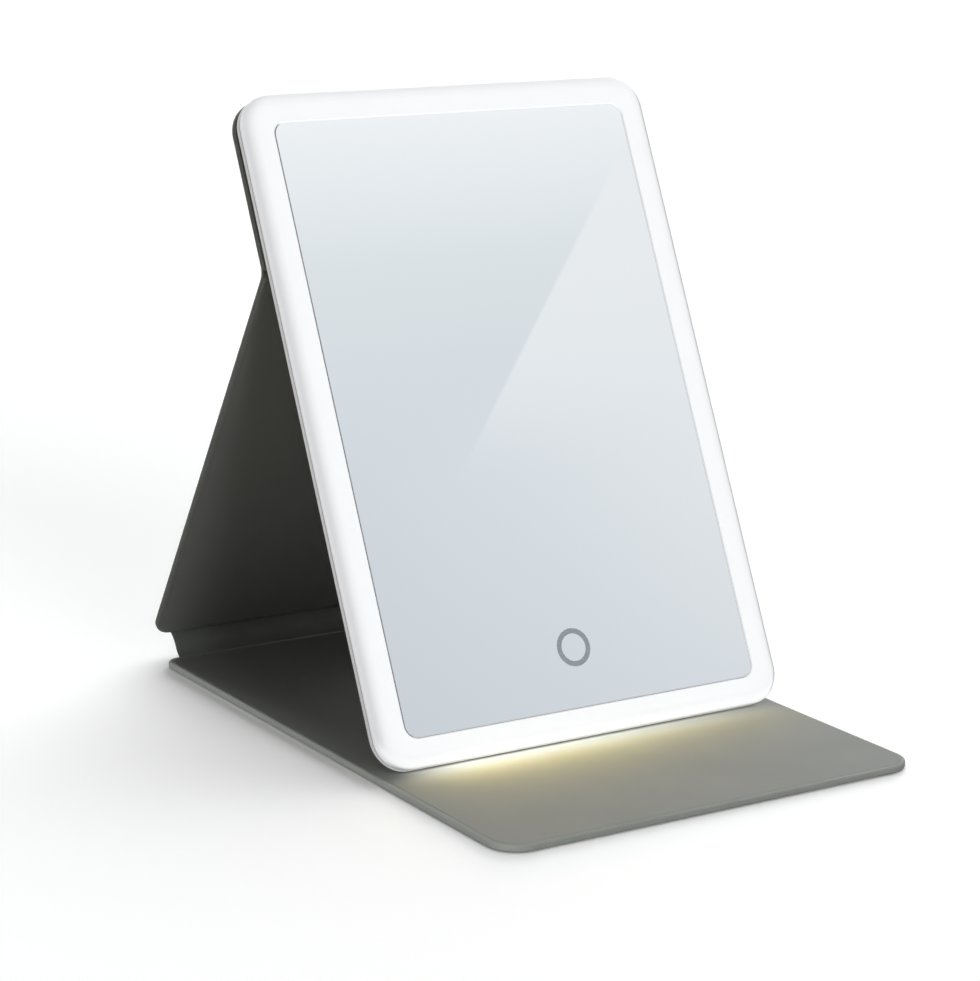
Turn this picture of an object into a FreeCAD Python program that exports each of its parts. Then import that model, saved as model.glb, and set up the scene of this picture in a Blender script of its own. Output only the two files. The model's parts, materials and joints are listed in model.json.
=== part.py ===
"""Folding lighted makeup mirror: a slim light frame that stands on its own folded cover.

Millimetres. X runs across, Y to the back, Z up. The origin is the middle of the cover's underside.
"""
import FreeCAD
import Part
import Sketcher
import math
import os

# Driving dimensions: name, value, what it measures. Angles are in degrees
SIZES = [
    ("mirror_width", 150.0, "light frame, across"),
    ("mirror_height", 215.0, "light frame, from foot to top"),
    ("mirror_depth", 6.6, "rear face to the crown of the light frame"),
    ("mirror_corner", 11.0, "outer corner radius of light frame and housing"),
    ("bezel_width", 9.6, "light frame, sides and top to the glass opening"),
    ("bezel_foot", 8.8, "light frame, foot to the glass opening"),
    ("glass_corner", 4.5, "corner radius of the glass opening"),
    ("glass_clearance", 0.15, "between glass and opening, all round"),
    ("glass_thickness", 1.3, "mirror glass"),
    ("glass_recess", 0.15, "glass face below the crown"),
    ("glass_bevel", 0.25, "ground edge of the glass"),
    ("tape_thickness", 0.2, "bonding sheet behind the glass"),
    ("tape_inset", 2.2, "glass edge to the edge of its bonding sheet"),
    ("carrier_thickness", 0.6, "plate behind the glass"),
    ("frame_wall", 1.4, "outer wall of the light frame"),
    ("frame_face", 1.3, "front wall of the light frame"),
    ("frame_lip", 1.6, "wall between light channel and glass"),
    ("crown_width", 4.5, "rounded part of the light frame, across its face"),
    ("crown_drop", 2.2, "rounded part of the light frame, down its side"),
    ("rim_height", 1.6, "housing, rear face to the top of its rim"),
    ("rim_bevel", 0.6, "bevel of the housing's rear edge"),
    ("housing_floor", 0.9, "rear wall of the housing"),
    ("housing_wall", 2.2, "side wall of the housing"),
    ("seam_gap", 0.5, "shadow line between housing and light frame"),
    ("tongue_rise", 1.2, "housing tongue above its rim"),
    ("tongue_clearance", 0.05, "housing tongue inside the frame's wall"),
    ("post_diameter", 6.0, "housing posts under the carrier"),
    ("post_margin", 17.0, "side of the mirror to the outer posts"),
    ("ring_diameter", 12.2, "touch ring, outside"),
    ("ring_band", 1.7, "touch ring, width of the line"),
    ("ring_height", 28.0, "foot of the mirror to the middle of the touch ring"),
    ("ring_depth", 0.1, "thickness of the touch ring in the glass"),
    ("pad_diameter", 14.0, "touch foil behind the ring"),
    ("pad_thickness", 0.1, "touch foil"),
    ("pad_clearance", 0.5, "foil to the hole in the bonding sheet"),
    ("contact_side", 4.0, "conductive foam, side"),
    ("contact_clearance", 1.2, "conductive foam to the hole in the carrier"),
    ("strip_width", 5.0, "lamp strip"),
    ("strip_thickness", 0.6, "lamp strip"),
    ("strip_margin", 0.2, "housing wall to lamp strip"),
    ("lamp_length", 3.5, "lamp, along the strip"),
    ("lamp_width", 2.8, "lamp, across the strip"),
    ("lamp_height", 0.7, "lamp"),
    ("lamp_pitch", 12.0, "lamp to lamp"),
    ("battery_side", 30.0, "side of the mirror to the pouch cell"),
    ("battery_height", 60.0, "pouch cell, up the mirror"),
    ("battery_room", 0.85, "pouch cell to the carrier plate, for swelling"),
    ("battery_round", 1.0, "pouch cell, rounded edges"),
    ("battery_place", 95.0, "foot of the mirror to the lower edge of the cell"),
    ("battery_pad_thickness", 0.2, "adhesive pad of the cell"),
    ("battery_pad_margin", 6.0, "cell edge to pad edge"),
    ("circuit_height", 24.0, "control board, up the mirror"),
    ("circuit_gap", 3.6, "bar magnet to the control board"),
    ("circuit_left", 14.0, "control board, left of the middle"),
    ("circuit_thickness", 0.8, "control board"),
    ("circuit_standoff", 0.3, "control board above the housing floor"),
    ("standoff_diameter", 4.0, "low bosses under the control board"),
    ("standoff_margin", 4.0, "board edge to the middle of a boss"),
    ("driver_side", 5.0, "square chip"),
    ("driver_height", 0.9, "square chip"),
    ("coil_side", 6.0, "power coil"),
    ("coil_room", 0.75, "power coil to the carrier plate"),
    ("part_spacing", 11.0, "part to part on the control board, from its end inwards"),
    ("lead_diameter", 1.0, "battery leads"),
    ("lead_spacing", 3.0, "lead to lead"),
    ("lead_offset", 10.0, "middle of the mirror to the first battery lead"),
    ("lead_overlap", 3.0, "battery lead over the control board"),
    ("wire_diameter", 0.8, "lamp leads"),
    ("wire_offset", 6.6, "bar magnet to the nearer lamp lead"),
    ("socket_width", 8.94, "charging socket, across its mouth"),
    ("socket_height", 3.2, "charging socket, height of its mouth"),
    ("socket_depth", 7.3, "charging socket, mouth to back"),
    ("socket_wall", 0.3, "shell of the charging socket"),
    ("socket_back", 1.2, "solid rear of the charging socket"),
    ("socket_raise", 0.1, "charging socket above the housing floor"),
    ("socket_sink", 0.3, "mouth of the socket behind the housing's side"),
    ("socket_clearance", 0.15, "charging socket in its slot"),
    ("blade_width", 6.7, "contact blade in the socket"),
    ("blade_height", 0.7, "contact blade in the socket"),
    ("blade_sink", 0.8, "contact blade behind the socket's mouth"),
    ("foot_magnet_length", 20.0, "bar magnet in the housing"),
    ("foot_magnet_width", 4.0, "bar magnet in the housing"),
    ("foot_magnet_thickness", 2.0, "bar magnet in the housing"),
    ("foot_magnet_margin", 1.0, "lamp strip to bar magnet"),
    ("magnet_side", 15.0, "side of the mirror to the end of a bar magnet"),
    ("folder_margin", 0.2, "panel side beyond the side of the mirror"),
    ("cover_overlap", 4.0, "front cover longer than the mirror"),
    ("cover_front_corner", 10.0, "corner radius at the front edge"),
    ("cover_rear_corner", 5.0, "corner radius at the spine"),
    ("leg_corner", 6.0, "corner radius at the foot of the leg"),
    ("crease_corner", 2.0, "corner radius beside the crease"),
    ("bond_corner", 2.5, "corner radius of the foam sheet"),
    ("skin_thickness", 0.5, "outer skin"),
    ("edge_skin", 0.6, "skin around the edge of a panel"),
    ("card_thickness", 1.2, "stiff card in a panel"),
    ("lining_thickness", 0.5, "inner lining"),
    ("turn_in", 1.4, "skin that shows around the lining"),
    ("edge_bevel", 0.45, "softened edge of a panel"),
    ("bond_thickness", 0.9, "foam sheet between housing and upper panel"),
    ("bond_inset", 3.0, "panel edge to the edge of the foam sheet"),
    ("upper_height", 55.5, "top of the mirror down to the crease on its back"),
    ("leg_reach", 2.0, "leg longer than the crease is high"),
    ("hinge_depth", 0.55, "outer face of a panel to its crease line"),
    ("bead_radius", 0.5, "rounded end of the folded skin at a crease"),
    ("hinge_gap", 0.2, "panel end to the rounded skin at a crease"),
    ("spine_chord", 12.0, "crease to crease across the spine"),
    ("spine_inset", 7.0, "panel side to the side of the spine"),
    ("spine_sway", 18.0, "bend of the soft spine off its chord, degrees"),
    ("spine_rise", 45.0, "slope of the spine when the mirror stands, degrees"),
    ("spine_lining_thickness", 0.4, "lining let into the spine"),
    ("spine_lining_margin", 2.0, "end of the spine to its lining"),
    ("cover_magnet_diameter", 10.0, "disc magnet in the cover"),
    ("lean", 24.8, "mirror off the upright when it stands, degrees"),
    ("foot_gap", 0.2, "foot of the mirror above the cover"),
    ("overrun", 1.0, "how far a cut runs past the face it opens"),
]


class Size:
    """A length that carries both its number and the sheet expression it follows."""

    def __init__(self, text, value):
        self.text = text
        self.value = value

    @staticmethod
    def of(other):
        return other if isinstance(other, Size) else Size(repr(other), other)

    def combine(self, sign, other, value):
        return Size(f"({self.text} {sign} {other.text})", value)

    def __add__(self, other):
        other = Size.of(other)
        return self.combine("+", other, self.value + other.value)

    def __sub__(self, other):
        other = Size.of(other)
        return self.combine("-", other, self.value - other.value)

    def __mul__(self, other):
        other = Size.of(other)
        return self.combine("*", other, self.value * other.value)

    def __truediv__(self, other):
        other = Size.of(other)
        return self.combine("/", other, self.value / other.value)

    def __rmul__(self, other):
        return Size.of(other) * self

    def __neg__(self):
        return Size.of(0) - self

    def least(self, other):
        """The smaller of two sizes."""
        return Size(f"min({self.text}; {other.text})", min(self.value, other.value))

    def sine(self):
        """The sine of an angle in degrees."""
        return Size(f"sin({self.text} * 1 deg)", math.sin(math.radians(self.value)))

    def cosine(self):
        """The cosine of an angle in degrees."""
        return Size(f"cos({self.text} * 1 deg)", math.cos(math.radians(self.value)))


class SheetSizes:
    """The driving dimensions, one attribute for each alias of the sheet."""

    def __init__(self, sheet):
        for row, (alias, value, meaning) in enumerate(SIZES, start=1):
            sheet.set(f"A{row}", meaning)
            sheet.set(f"B{row}", str(value))
            sheet.setAlias(f"B{row}", alias)
            setattr(self, alias, Size(f"{sheet.Name}.{alias}", value))


doc = FreeCAD.newDocument("makeup_mirror")
sheet = doc.addObject("Spreadsheet::Sheet", "sizes")
size = SheetSizes(sheet)
doc.recompute()
ZERO = Size("0", 0.0)
subparts = []


# Depths in the mirror, counted from its rear face towards the glass
frame_rear = size.rim_height + size.seam_gap
frame_height = size.mirror_depth - frame_rear
glass_rear = size.mirror_depth - size.glass_recess - size.glass_thickness
tape_rear = glass_rear - size.tape_thickness
carrier_rear = tape_rear - size.carrier_thickness
strip_front = size.housing_floor + size.strip_thickness
circuit_rear = size.housing_floor + size.circuit_standoff
circuit_front = circuit_rear + size.circuit_thickness
coil_height = carrier_rear - size.coil_room - circuit_front
battery_rear = size.housing_floor + size.battery_pad_thickness
battery_thickness = carrier_rear - size.battery_room - battery_rear
socket_rear = size.housing_floor + size.socket_raise
socket_middle = socket_rear + size.socket_height / 2

# Widths and heights in the mirror
half_width = size.mirror_width / 2
opening_width = size.mirror_width - 2 * size.bezel_width
opening_height = size.mirror_height - size.bezel_width - size.bezel_foot
strip_outset = size.housing_wall + size.strip_margin
socket_mouth = half_width - size.socket_sink
socket_end = socket_mouth - size.socket_depth
strip_edge = strip_outset + size.strip_width
circuit_end = socket_end.least(half_width - strip_edge - size.strip_margin)
magnet_foot = strip_edge + size.foot_magnet_margin
circuit_foot = magnet_foot + size.foot_magnet_width + size.circuit_gap
circuit_top = circuit_foot + size.circuit_height
battery_width = size.mirror_width - 2 * size.battery_side
magnet_place = half_width - size.magnet_side - size.foot_magnet_length / 2

# The folder
panel_thickness = size.skin_thickness + size.card_thickness + size.lining_thickness
panel_end = size.bead_radius + size.hinge_gap
crease_height = size.mirror_height - size.upper_height
leg_length = crease_height + size.leg_reach
folder_width = size.mirror_width + 2 * size.folder_margin
cover_length = size.mirror_height + size.cover_overlap
spine_width = folder_width - 2 * size.spine_inset
crease_behind = size.bond_thickness + panel_thickness - size.hinge_depth


def standing_pose():
    """Returns the crease points and slopes of the standing mirror, in the YZ plane."""
    lean = math.radians(size.lean.value)
    rise = math.radians(size.spine_rise.value)
    spine_foot = (cover_length / 2 + panel_end).value, size.hinge_depth.value
    leg_foot_y = spine_foot[0] + size.spine_chord.value * math.cos(rise)
    leg_foot_z = spine_foot[1] + size.spine_chord.value * math.sin(rise)
    # The bevelled rear edge of the housing stands a little above its sharp corner
    mirror_z = (panel_thickness + size.foot_gap).value - size.rim_bevel.value * math.sin(lean)
    crease_z = mirror_z + crease_height.value * math.cos(lean)
    crease_z -= crease_behind.value * math.sin(lean)
    leg_slope = math.asin((crease_z - leg_foot_z) / leg_length.value)
    crease_y = leg_foot_y - leg_length.value * math.cos(leg_slope)
    mirror_y = crease_y - crease_height.value * math.sin(lean)
    mirror_y -= crease_behind.value * math.cos(lean)
    return {
        "spine_foot": spine_foot,
        "leg_foot": (leg_foot_y, leg_foot_z),
        "crease": (crease_y, crease_z),
        "mirror": (mirror_y, mirror_z),
        "leg_slope": math.degrees(leg_slope),
    }


pose = standing_pose()


def turned(point, degrees):
    """Returns a placement at a point of the YZ plane, turned about X."""
    turn = FreeCAD.Rotation(FreeCAD.Vector(1, 0, 0), degrees)
    return FreeCAD.Placement(FreeCAD.Vector(0, *point), turn)


def moved(x, y, z):
    """Returns a placement without a turn, from three sizes."""
    return FreeCAD.Placement(FreeCAD.Vector(x.value, y.value, z.value), FreeCAD.Rotation())


leg_turn = 180 - pose["leg_slope"]
cover_place = FreeCAD.Placement()
spine_place = turned(pose["spine_foot"], size.spine_rise.value)
leg_place = turned(pose["leg_foot"], leg_turn).multiply(moved(ZERO, ZERO, -size.hinge_depth))
mirror_place = turned(pose["mirror"], 90 - size.lean.value)


def keep(thing, name, place):
    """Names a finished sub-part, puts it in its place and lists it for writing."""
    thing.Label = name
    thing.Placement = place
    subparts.append(thing)
    return thing


def new_body(name):
    return doc.addObject("PartDesign::Body", name + "_body")


def new_sketch(body, name, role="XY_Plane", offset=ZERO):
    """Returns an empty sketch on one of its body's origin planes, moved along its normal."""
    sketch = body.newObject("Sketcher::SketchObject", name)
    support = next(item for item in body.Origin.OriginFeatures if item.Role == role)
    sketch.AttachmentSupport = [(support, "")]
    sketch.MapMode = "FlatFace"
    sketch.setExpression("AttachmentOffset.Base.z", offset.text)
    return sketch


def bind(sketch, constraint, size_value, label):
    """Adds a dimension that follows a size."""
    index = sketch.addConstraint(constraint)
    sketch.renameConstraint(index, label)
    sketch.setExpression(f"Constraints.{label}", size_value.text)


def tag(sketch):
    """Returns a fresh ending for the names of a profile's dimensions."""
    return f"_{sketch.GeometryCount}"


def rounded_rectangle(sketch, width, height, low_corner, high_corner, bottom):
    """Adds a rectangle with round corners, centred across, from bottom upwards."""
    mark = tag(sketch)
    half = width.value / 2
    low, high = bottom.value, bottom.value + height.value
    small, large = low_corner.value, high_corner.value
    normal = FreeCAD.Vector(0, 0, 1)

    def line(x1, y1, x2, y2):
        ends = FreeCAD.Vector(x1, y1, 0), FreeCAD.Vector(x2, y2, 0)
        return sketch.addGeometry(Part.LineSegment(*ends), False)

    def corner(x, y, radius, start):
        circle = Part.Circle(FreeCAD.Vector(x, y, 0), normal, radius)
        arc = Part.ArcOfCircle(circle, math.radians(start), math.radians(start + 90))
        return sketch.addGeometry(arc, False)

    sides = [
        line(-half + small, low, half - small, low),
        corner(half - small, low + small, small, 270),
        line(half, low + small, half, high - large),
        corner(half - large, high - large, large, 0),
        line(half - large, high, -half + large, high),
        corner(-half + large, high - large, large, 90),
        line(-half, high - large, -half, low + small),
        corner(-half + small, low + small, small, 180),
    ]
    for first, second in zip(sides, sides[1:] + sides[:1]):
        sketch.addConstraint(Sketcher.Constraint("Tangent", first, 2, second, 1))
    floor, right, top, left = sides[0], sides[2], sides[4], sides[6]
    sketch.addConstraint(Sketcher.Constraint("Symmetric", floor, 1, floor, 2, -2))
    sketch.addConstraint(Sketcher.Constraint("Horizontal", top))
    sketch.addConstraint(Sketcher.Constraint("Vertical", right))
    sketch.addConstraint(Sketcher.Constraint("Vertical", left))
    sketch.addConstraint(Sketcher.Constraint("Equal", sides[1], sides[7]))
    sketch.addConstraint(Sketcher.Constraint("Equal", sides[3], sides[5]))
    bind(sketch, Sketcher.Constraint("Radius", sides[1], small), low_corner, "low" + mark)
    bind(sketch, Sketcher.Constraint("Radius", sides[3], large), high_corner, "high" + mark)
    across = Sketcher.Constraint("DistanceX", left, 1, right, 1, width.value)
    bind(sketch, across, width, "width" + mark)
    up = Sketcher.Constraint("DistanceY", floor, 1, top, 1, height.value)
    bind(sketch, up, height, "height" + mark)
    place = Sketcher.Constraint("DistanceY", -1, 1, floor, 1, low)
    bind(sketch, place, bottom, "bottom" + mark)
    return sides


def inset_outline(sketch, outline, inset, corner=None):
    """Adds an outline of a panel or of the mirror, drawn in from its edge."""
    width, height, low_corner, high_corner, bottom = outline
    corners = (corner, corner) if corner else (low_corner - inset, high_corner - inset)
    size_in = width - 2 * inset, height - 2 * inset
    return rounded_rectangle(sketch, *size_in, *corners, bottom + inset)


def stadium(sketch, middle_x, middle_y, length, height):
    """Adds a slot with round ends, lying along the sketch's first axis."""
    mark = tag(sketch)
    radius = height.value / 2
    reach = length.value / 2 - radius
    x, y = middle_x.value, middle_y.value
    normal = FreeCAD.Vector(0, 0, 1)

    def end(side, start):
        circle = Part.Circle(FreeCAD.Vector(x + side * reach, y, 0), normal, radius)
        arc = Part.ArcOfCircle(circle, math.radians(start), math.radians(start + 180))
        return sketch.addGeometry(arc, False)

    def run(direction):
        level = y - direction * radius
        ends = [FreeCAD.Vector(x + side * direction * reach, level, 0) for side in (-1, 1)]
        return sketch.addGeometry(Part.LineSegment(*ends), False)

    sides = [run(1), end(1, -90), run(-1), end(-1, 90)]
    for first, second in zip(sides, sides[1:] + sides[:1]):
        sketch.addConstraint(Sketcher.Constraint("Tangent", first, 2, second, 1))
    sketch.addConstraint(Sketcher.Constraint("Horizontal", sides[0]))
    left, right = sides[3], sides[1]
    bind(sketch, Sketcher.Constraint("Radius", right, radius), height / 2, "radius" + mark)
    reach_size = length - height
    span = Sketcher.Constraint("DistanceX", left, 3, right, 3, 2 * reach)
    bind(sketch, span, reach_size, "span" + mark)
    from_middle = Sketcher.Constraint("DistanceX", -1, 1, right, 3, x + reach)
    bind(sketch, from_middle, middle_x + reach_size / 2, "across" + mark)
    bind(sketch, Sketcher.Constraint("DistanceY", -1, 1, right, 3, y), middle_y, "up" + mark)


def circle(sketch, x, y, diameter):
    """Adds a circle whose middle and diameter follow sizes."""
    mark = tag(sketch)
    middle = FreeCAD.Vector(x.value, y.value, 0)
    shape = Part.Circle(middle, FreeCAD.Vector(0, 0, 1), diameter.value / 2)
    ring = sketch.addGeometry(shape, False)
    bind(sketch, Sketcher.Constraint("Diameter", ring, diameter.value), diameter, "diameter" + mark)
    bind(sketch, Sketcher.Constraint("DistanceX", -1, 1, ring, 3, x.value), x, "across" + mark)
    bind(sketch, Sketcher.Constraint("DistanceY", -1, 1, ring, 3, y.value), y, "up" + mark)


def pad(body, sketch, length, symmetric=False):
    """Raises a sketch into a solid, along its normal or to both sides."""
    feature = body.newObject("PartDesign::Pad", sketch.Name + "_pad")
    feature.Profile = sketch
    feature.SideType = "Symmetric" if symmetric else "One side"
    feature.setExpression("Length", length.text)
    sketch.Visibility = False
    return feature


def pocket(body, sketch, depth, forward=False, symmetric=False):
    """Cuts a sketch into the solid: against its normal, along it when forward, or to both sides."""
    doc.recompute()
    before = body.Shape.Volume
    feature = body.newObject("PartDesign::Pocket", sketch.Name + "_pocket")
    feature.Profile = sketch
    feature.Reversed = forward
    feature.SideType = "Symmetric" if symmetric else "One side"
    feature.setExpression("Length", depth.text)
    doc.recompute()
    if body.Shape.Volume >= before:
        raise RuntimeError(f"{feature.Name} cuts nothing")
    return feature


def bevel(body, width, *levels):
    """Bevels the edges of the body's last feature that lie flat at the given heights."""
    doc.recompute()
    base = body.Tip
    near = size.edge_bevel.value / 2

    def wanted(edge):
        box = edge.BoundBox
        return any(abs(box.ZMin - at.value) < near and abs(box.ZMax - at.value) < near for at in levels)

    chosen = [f"Edge{i}" for i, edge in enumerate(base.Shape.Edges, start=1) if wanted(edge)]
    feature = body.newObject("PartDesign::Chamfer", body.Name + "_bevel")
    feature.Base = (base, chosen)
    feature.setExpression("Size", width.text)
    doc.recompute()
    return feature


def plate(name, place, outline, inset, rear, thickness, corner=None, holes=()):
    """Makes a flat plate with round corners, with round holes through it."""
    body = new_body(name)
    sketch = new_sketch(body, name + "_outline", offset=rear)
    inset_outline(sketch, outline, inset, corner)
    for x, y, diameter in holes:
        circle(sketch, x, y, diameter)
    pad(body, sketch, thickness)
    return keep(body, name, place)


def block(name, place, x, y, z, length, width, height):
    """Returns a plain block whose lowest corner is at x, y, z of the frame that carries it."""
    box = doc.addObject("Part::Box", name)
    box.setExpression("Length", length.text)
    box.setExpression("Width", width.text)
    box.setExpression("Height", height.text)
    box.Placement = place.multiply(moved(x, y, z))
    return box


def rod(name, place, x, y, z, diameter, height, along_mirror=False):
    """Returns a round bar that stands on x, y, z, or runs up the mirror from there."""
    bar = doc.addObject("Part::Cylinder", name)
    bar.setExpression("Radius", (diameter / 2).text)
    bar.setExpression("Height", height.text)
    turn = FreeCAD.Rotation(FreeCAD.Vector(1, 0, 0), -90 if along_mirror else 0)
    bar.Placement = place.multiply(moved(x, y, z)).multiply(FreeCAD.Placement(FreeCAD.Vector(), turn))
    return bar


def group(name, members):
    """Keeps several like solids as one sub-part."""
    thing = doc.addObject("Part::Compound", name + "_group")
    thing.Links = members
    return keep(thing, name, FreeCAD.Placement())


mirror_outline = (size.mirror_width, size.mirror_height, size.mirror_corner, size.mirror_corner, ZERO)
opening_outline = (
    opening_width,
    opening_height,
    size.glass_corner,
    size.glass_corner,
    size.bezel_foot,
)


def cut_socket_slot(body, name, depth):
    """Cuts the charging socket's slot into the right side of a part of the mirror."""
    sketch = new_sketch(body, name + "_slot", "YZ_Plane", half_width + size.overrun)
    slot_width = size.socket_width + 2 * size.socket_clearance
    slot_height = size.socket_height + 2 * size.socket_clearance
    stadium(sketch, size.ring_height, socket_middle, slot_width, slot_height)
    pocket(body, sketch, size.overrun + depth)


def make_glass():
    """Mirror glass with a ground edge, and the touch ring let into its face."""
    body = new_body("mirror_glass")
    sketch = new_sketch(body, "glass_outline", offset=glass_rear)
    inset_outline(sketch, opening_outline, size.glass_clearance)
    pad(body, sketch, size.glass_thickness)
    glass_front = glass_rear + size.glass_thickness
    bevel(body, size.glass_bevel, glass_front)
    inner = size.ring_diameter - 2 * size.ring_band
    groove = new_sketch(body, "ring_groove", offset=glass_front)
    circle(groove, ZERO, size.ring_height, size.ring_diameter)
    circle(groove, ZERO, size.ring_height, inner)
    pocket(body, groove, size.ring_depth)
    keep(body, "mirror_glass", mirror_place)

    mark = new_body("touch_ring")
    ring = new_sketch(mark, "ring_line", offset=glass_front - size.ring_depth)
    circle(ring, ZERO, size.ring_height, size.ring_diameter)
    circle(ring, ZERO, size.ring_height, inner)
    pad(mark, ring, size.ring_depth)
    keep(mark, "touch_ring", mirror_place)


def make_glass_support():
    """Bonding sheet and carrier plate behind the glass, with the touch foil and its foam."""
    pad_hole = size.pad_diameter + 2 * size.pad_clearance
    plate("glass_tape", mirror_place, opening_outline, size.tape_inset, tape_rear, size.tape_thickness,
          holes=[(ZERO, size.ring_height, pad_hole)])
    contact_hole = 2 * (size.contact_side / 2 + size.contact_clearance)
    plate("glass_carrier", mirror_place, opening_outline, -size.frame_lip, carrier_rear,
          size.carrier_thickness, holes=[(ZERO, size.ring_height, contact_hole)])
    foil = rod("touch_foil", mirror_place, ZERO, size.ring_height, glass_rear - size.pad_thickness,
               size.pad_diameter, size.pad_thickness)
    keep(foil, "touch_pad", foil.Placement)
    half = size.contact_side / 2
    foam_height = glass_rear - size.pad_thickness - circuit_front
    foam = block("touch_foam", mirror_place, -half, size.ring_height - half, circuit_front,
                 size.contact_side, size.contact_side, foam_height)
    keep(foam, "touch_contact", foam.Placement)


def crown_profile(body):
    """Sketches what the crown leaves of the frame's square edge, across the middle of its foot."""
    sketch = new_sketch(body, "crown_section", "YZ_Plane")
    width, drop, top = size.crown_width.value, size.crown_drop.value, size.mirror_depth.value
    out = size.overrun.value
    middle = FreeCAD.Vector(width, top - drop, 0)
    ellipse = Part.Ellipse(middle, width, drop)
    arc = Part.ArcOfEllipse(ellipse, math.radians(90), math.radians(180))
    corners = [
        (0, top - drop),
        (-out, top - drop),
        (-out, top + out),
        (width, top + out),
        (width, top),
    ]
    points = [FreeCAD.Vector(u, w, 0) for u, w in corners]
    curve = sketch.addGeometry(arc, False)
    lines = [
        sketch.addGeometry(Part.LineSegment(start, end), False)
        for start, end in zip(points, points[1:])
    ]
    sketch.exposeInternalGeometry(curve)
    long_axis = lines[-1] + 1
    sketch.addConstraint(Sketcher.Constraint("Horizontal", long_axis))
    sketch.addConstraint(Sketcher.Constraint("Coincident", curve, 2, lines[0], 1))
    sketch.addConstraint(Sketcher.Constraint("Coincident", curve, 1, lines[-1], 2))
    for first, second in zip(lines, lines[1:]):
        sketch.addConstraint(Sketcher.Constraint("Coincident", first, 2, second, 1))
    for level_line in (lines[0], lines[2]):
        sketch.addConstraint(Sketcher.Constraint("Horizontal", level_line))
    for upright in (lines[1], lines[3]):
        sketch.addConstraint(Sketcher.Constraint("Vertical", upright))
    sketch.addConstraint(Sketcher.Constraint("Vertical", curve, 1, curve, 3))
    sketch.addConstraint(Sketcher.Constraint("Horizontal", curve, 2, curve, 3))
    sketch.addConstraint(Sketcher.Constraint("PointOnObject", curve, 2, -2))
    bind(sketch, Sketcher.Constraint("DistanceX", curve, 2, curve, 3, width), size.crown_width, "width")
    bind(sketch, Sketcher.Constraint("DistanceY", curve, 3, curve, 1, drop), size.crown_drop, "drop")
    bind(sketch, Sketcher.Constraint("DistanceY", -1, 1, curve, 1, top), size.mirror_depth, "top")
    bind(sketch, Sketcher.Constraint("DistanceX", lines[0], 2, lines[0], 1, out), size.overrun, "out")
    bind(sketch, Sketcher.Constraint("DistanceY", curve, 1, lines[2], 2, out), size.overrun, "over")
    return sketch


def make_light_frame():
    """Crowned milky frame, hollow behind its face, with a seat for the carrier plate."""
    body = new_body("light_frame")
    ring = new_sketch(body, "frame_ring", offset=frame_rear)
    rounded_rectangle(ring, *mirror_outline)
    rounded_rectangle(ring, *opening_outline)
    pad(body, ring, frame_height)

    path = new_sketch(body, "crown_path", offset=size.mirror_depth)
    rounded_rectangle(path, *mirror_outline)
    section = crown_profile(body)
    doc.recompute()
    before = body.Shape.Volume
    crown = body.newObject("PartDesign::SubtractivePipe", "crown")
    crown.Profile = section
    crown.Spine = (path, [f"Edge{i}" for i in range(1, path.GeometryCount + 1)])
    crown.Transition = "Right corner"
    doc.recompute()
    if body.Shape.Volume >= before:
        raise RuntimeError("the crown cuts nothing")

    seat = new_sketch(body, "carrier_seat", offset=frame_rear)
    inset_outline(seat, mirror_outline, size.frame_wall)
    pocket(body, seat, tape_rear - frame_rear, forward=True)
    channel = new_sketch(body, "light_channel", offset=frame_rear)
    inset_outline(channel, mirror_outline, size.frame_wall)
    inset_outline(channel, opening_outline, -size.frame_lip)
    pocket(body, channel, frame_height - size.frame_face, forward=True)
    cut_socket_slot(body, "frame", half_width - socket_end)
    keep(body, "light_frame", mirror_place)


def make_rear_housing():
    """White tray with a bevelled rear edge, a tongue inside the light frame and inner posts."""
    body = new_body("rear_housing")
    rim = new_sketch(body, "housing_rim")
    rounded_rectangle(rim, *mirror_outline)
    pad(body, rim, size.rim_height)
    bevel(body, size.rim_bevel, ZERO)

    tongue = new_sketch(body, "housing_tongue", offset=size.rim_height)
    inset_outline(tongue, mirror_outline, size.frame_wall + size.tongue_clearance)
    pad(body, tongue, size.tongue_rise)
    inside = new_sketch(body, "housing_inside", offset=size.rim_height + size.tongue_rise)
    inset_outline(inside, mirror_outline, size.housing_wall)
    pocket(body, inside, size.rim_height + size.tongue_rise - size.housing_floor)

    posts = new_sketch(body, "carrier_posts", offset=size.housing_floor)
    side = half_width - size.post_margin
    battery_top = size.battery_place + size.battery_height
    post_rows = [
        (size.battery_place + circuit_top) / 2,
        size.battery_place + size.battery_height / 2,
        (battery_top + size.mirror_height) / 2,
    ]
    for row in post_rows:
        circle(posts, -side, row, size.post_diameter)
        circle(posts, side, row, size.post_diameter)
    pad(body, posts, carrier_rear - size.housing_floor)

    bosses = new_sketch(body, "board_bosses", offset=size.housing_floor)
    for x in (size.standoff_margin - size.circuit_left, circuit_end - size.standoff_margin):
        for y in (circuit_foot + size.standoff_margin, circuit_top - size.standoff_margin):
            circle(bosses, x, y, size.standoff_diameter)
    pad(body, bosses, size.circuit_standoff)
    cut_socket_slot(body, "housing", size.housing_wall + size.overrun)
    keep(body, "rear_housing", mirror_place)


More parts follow.
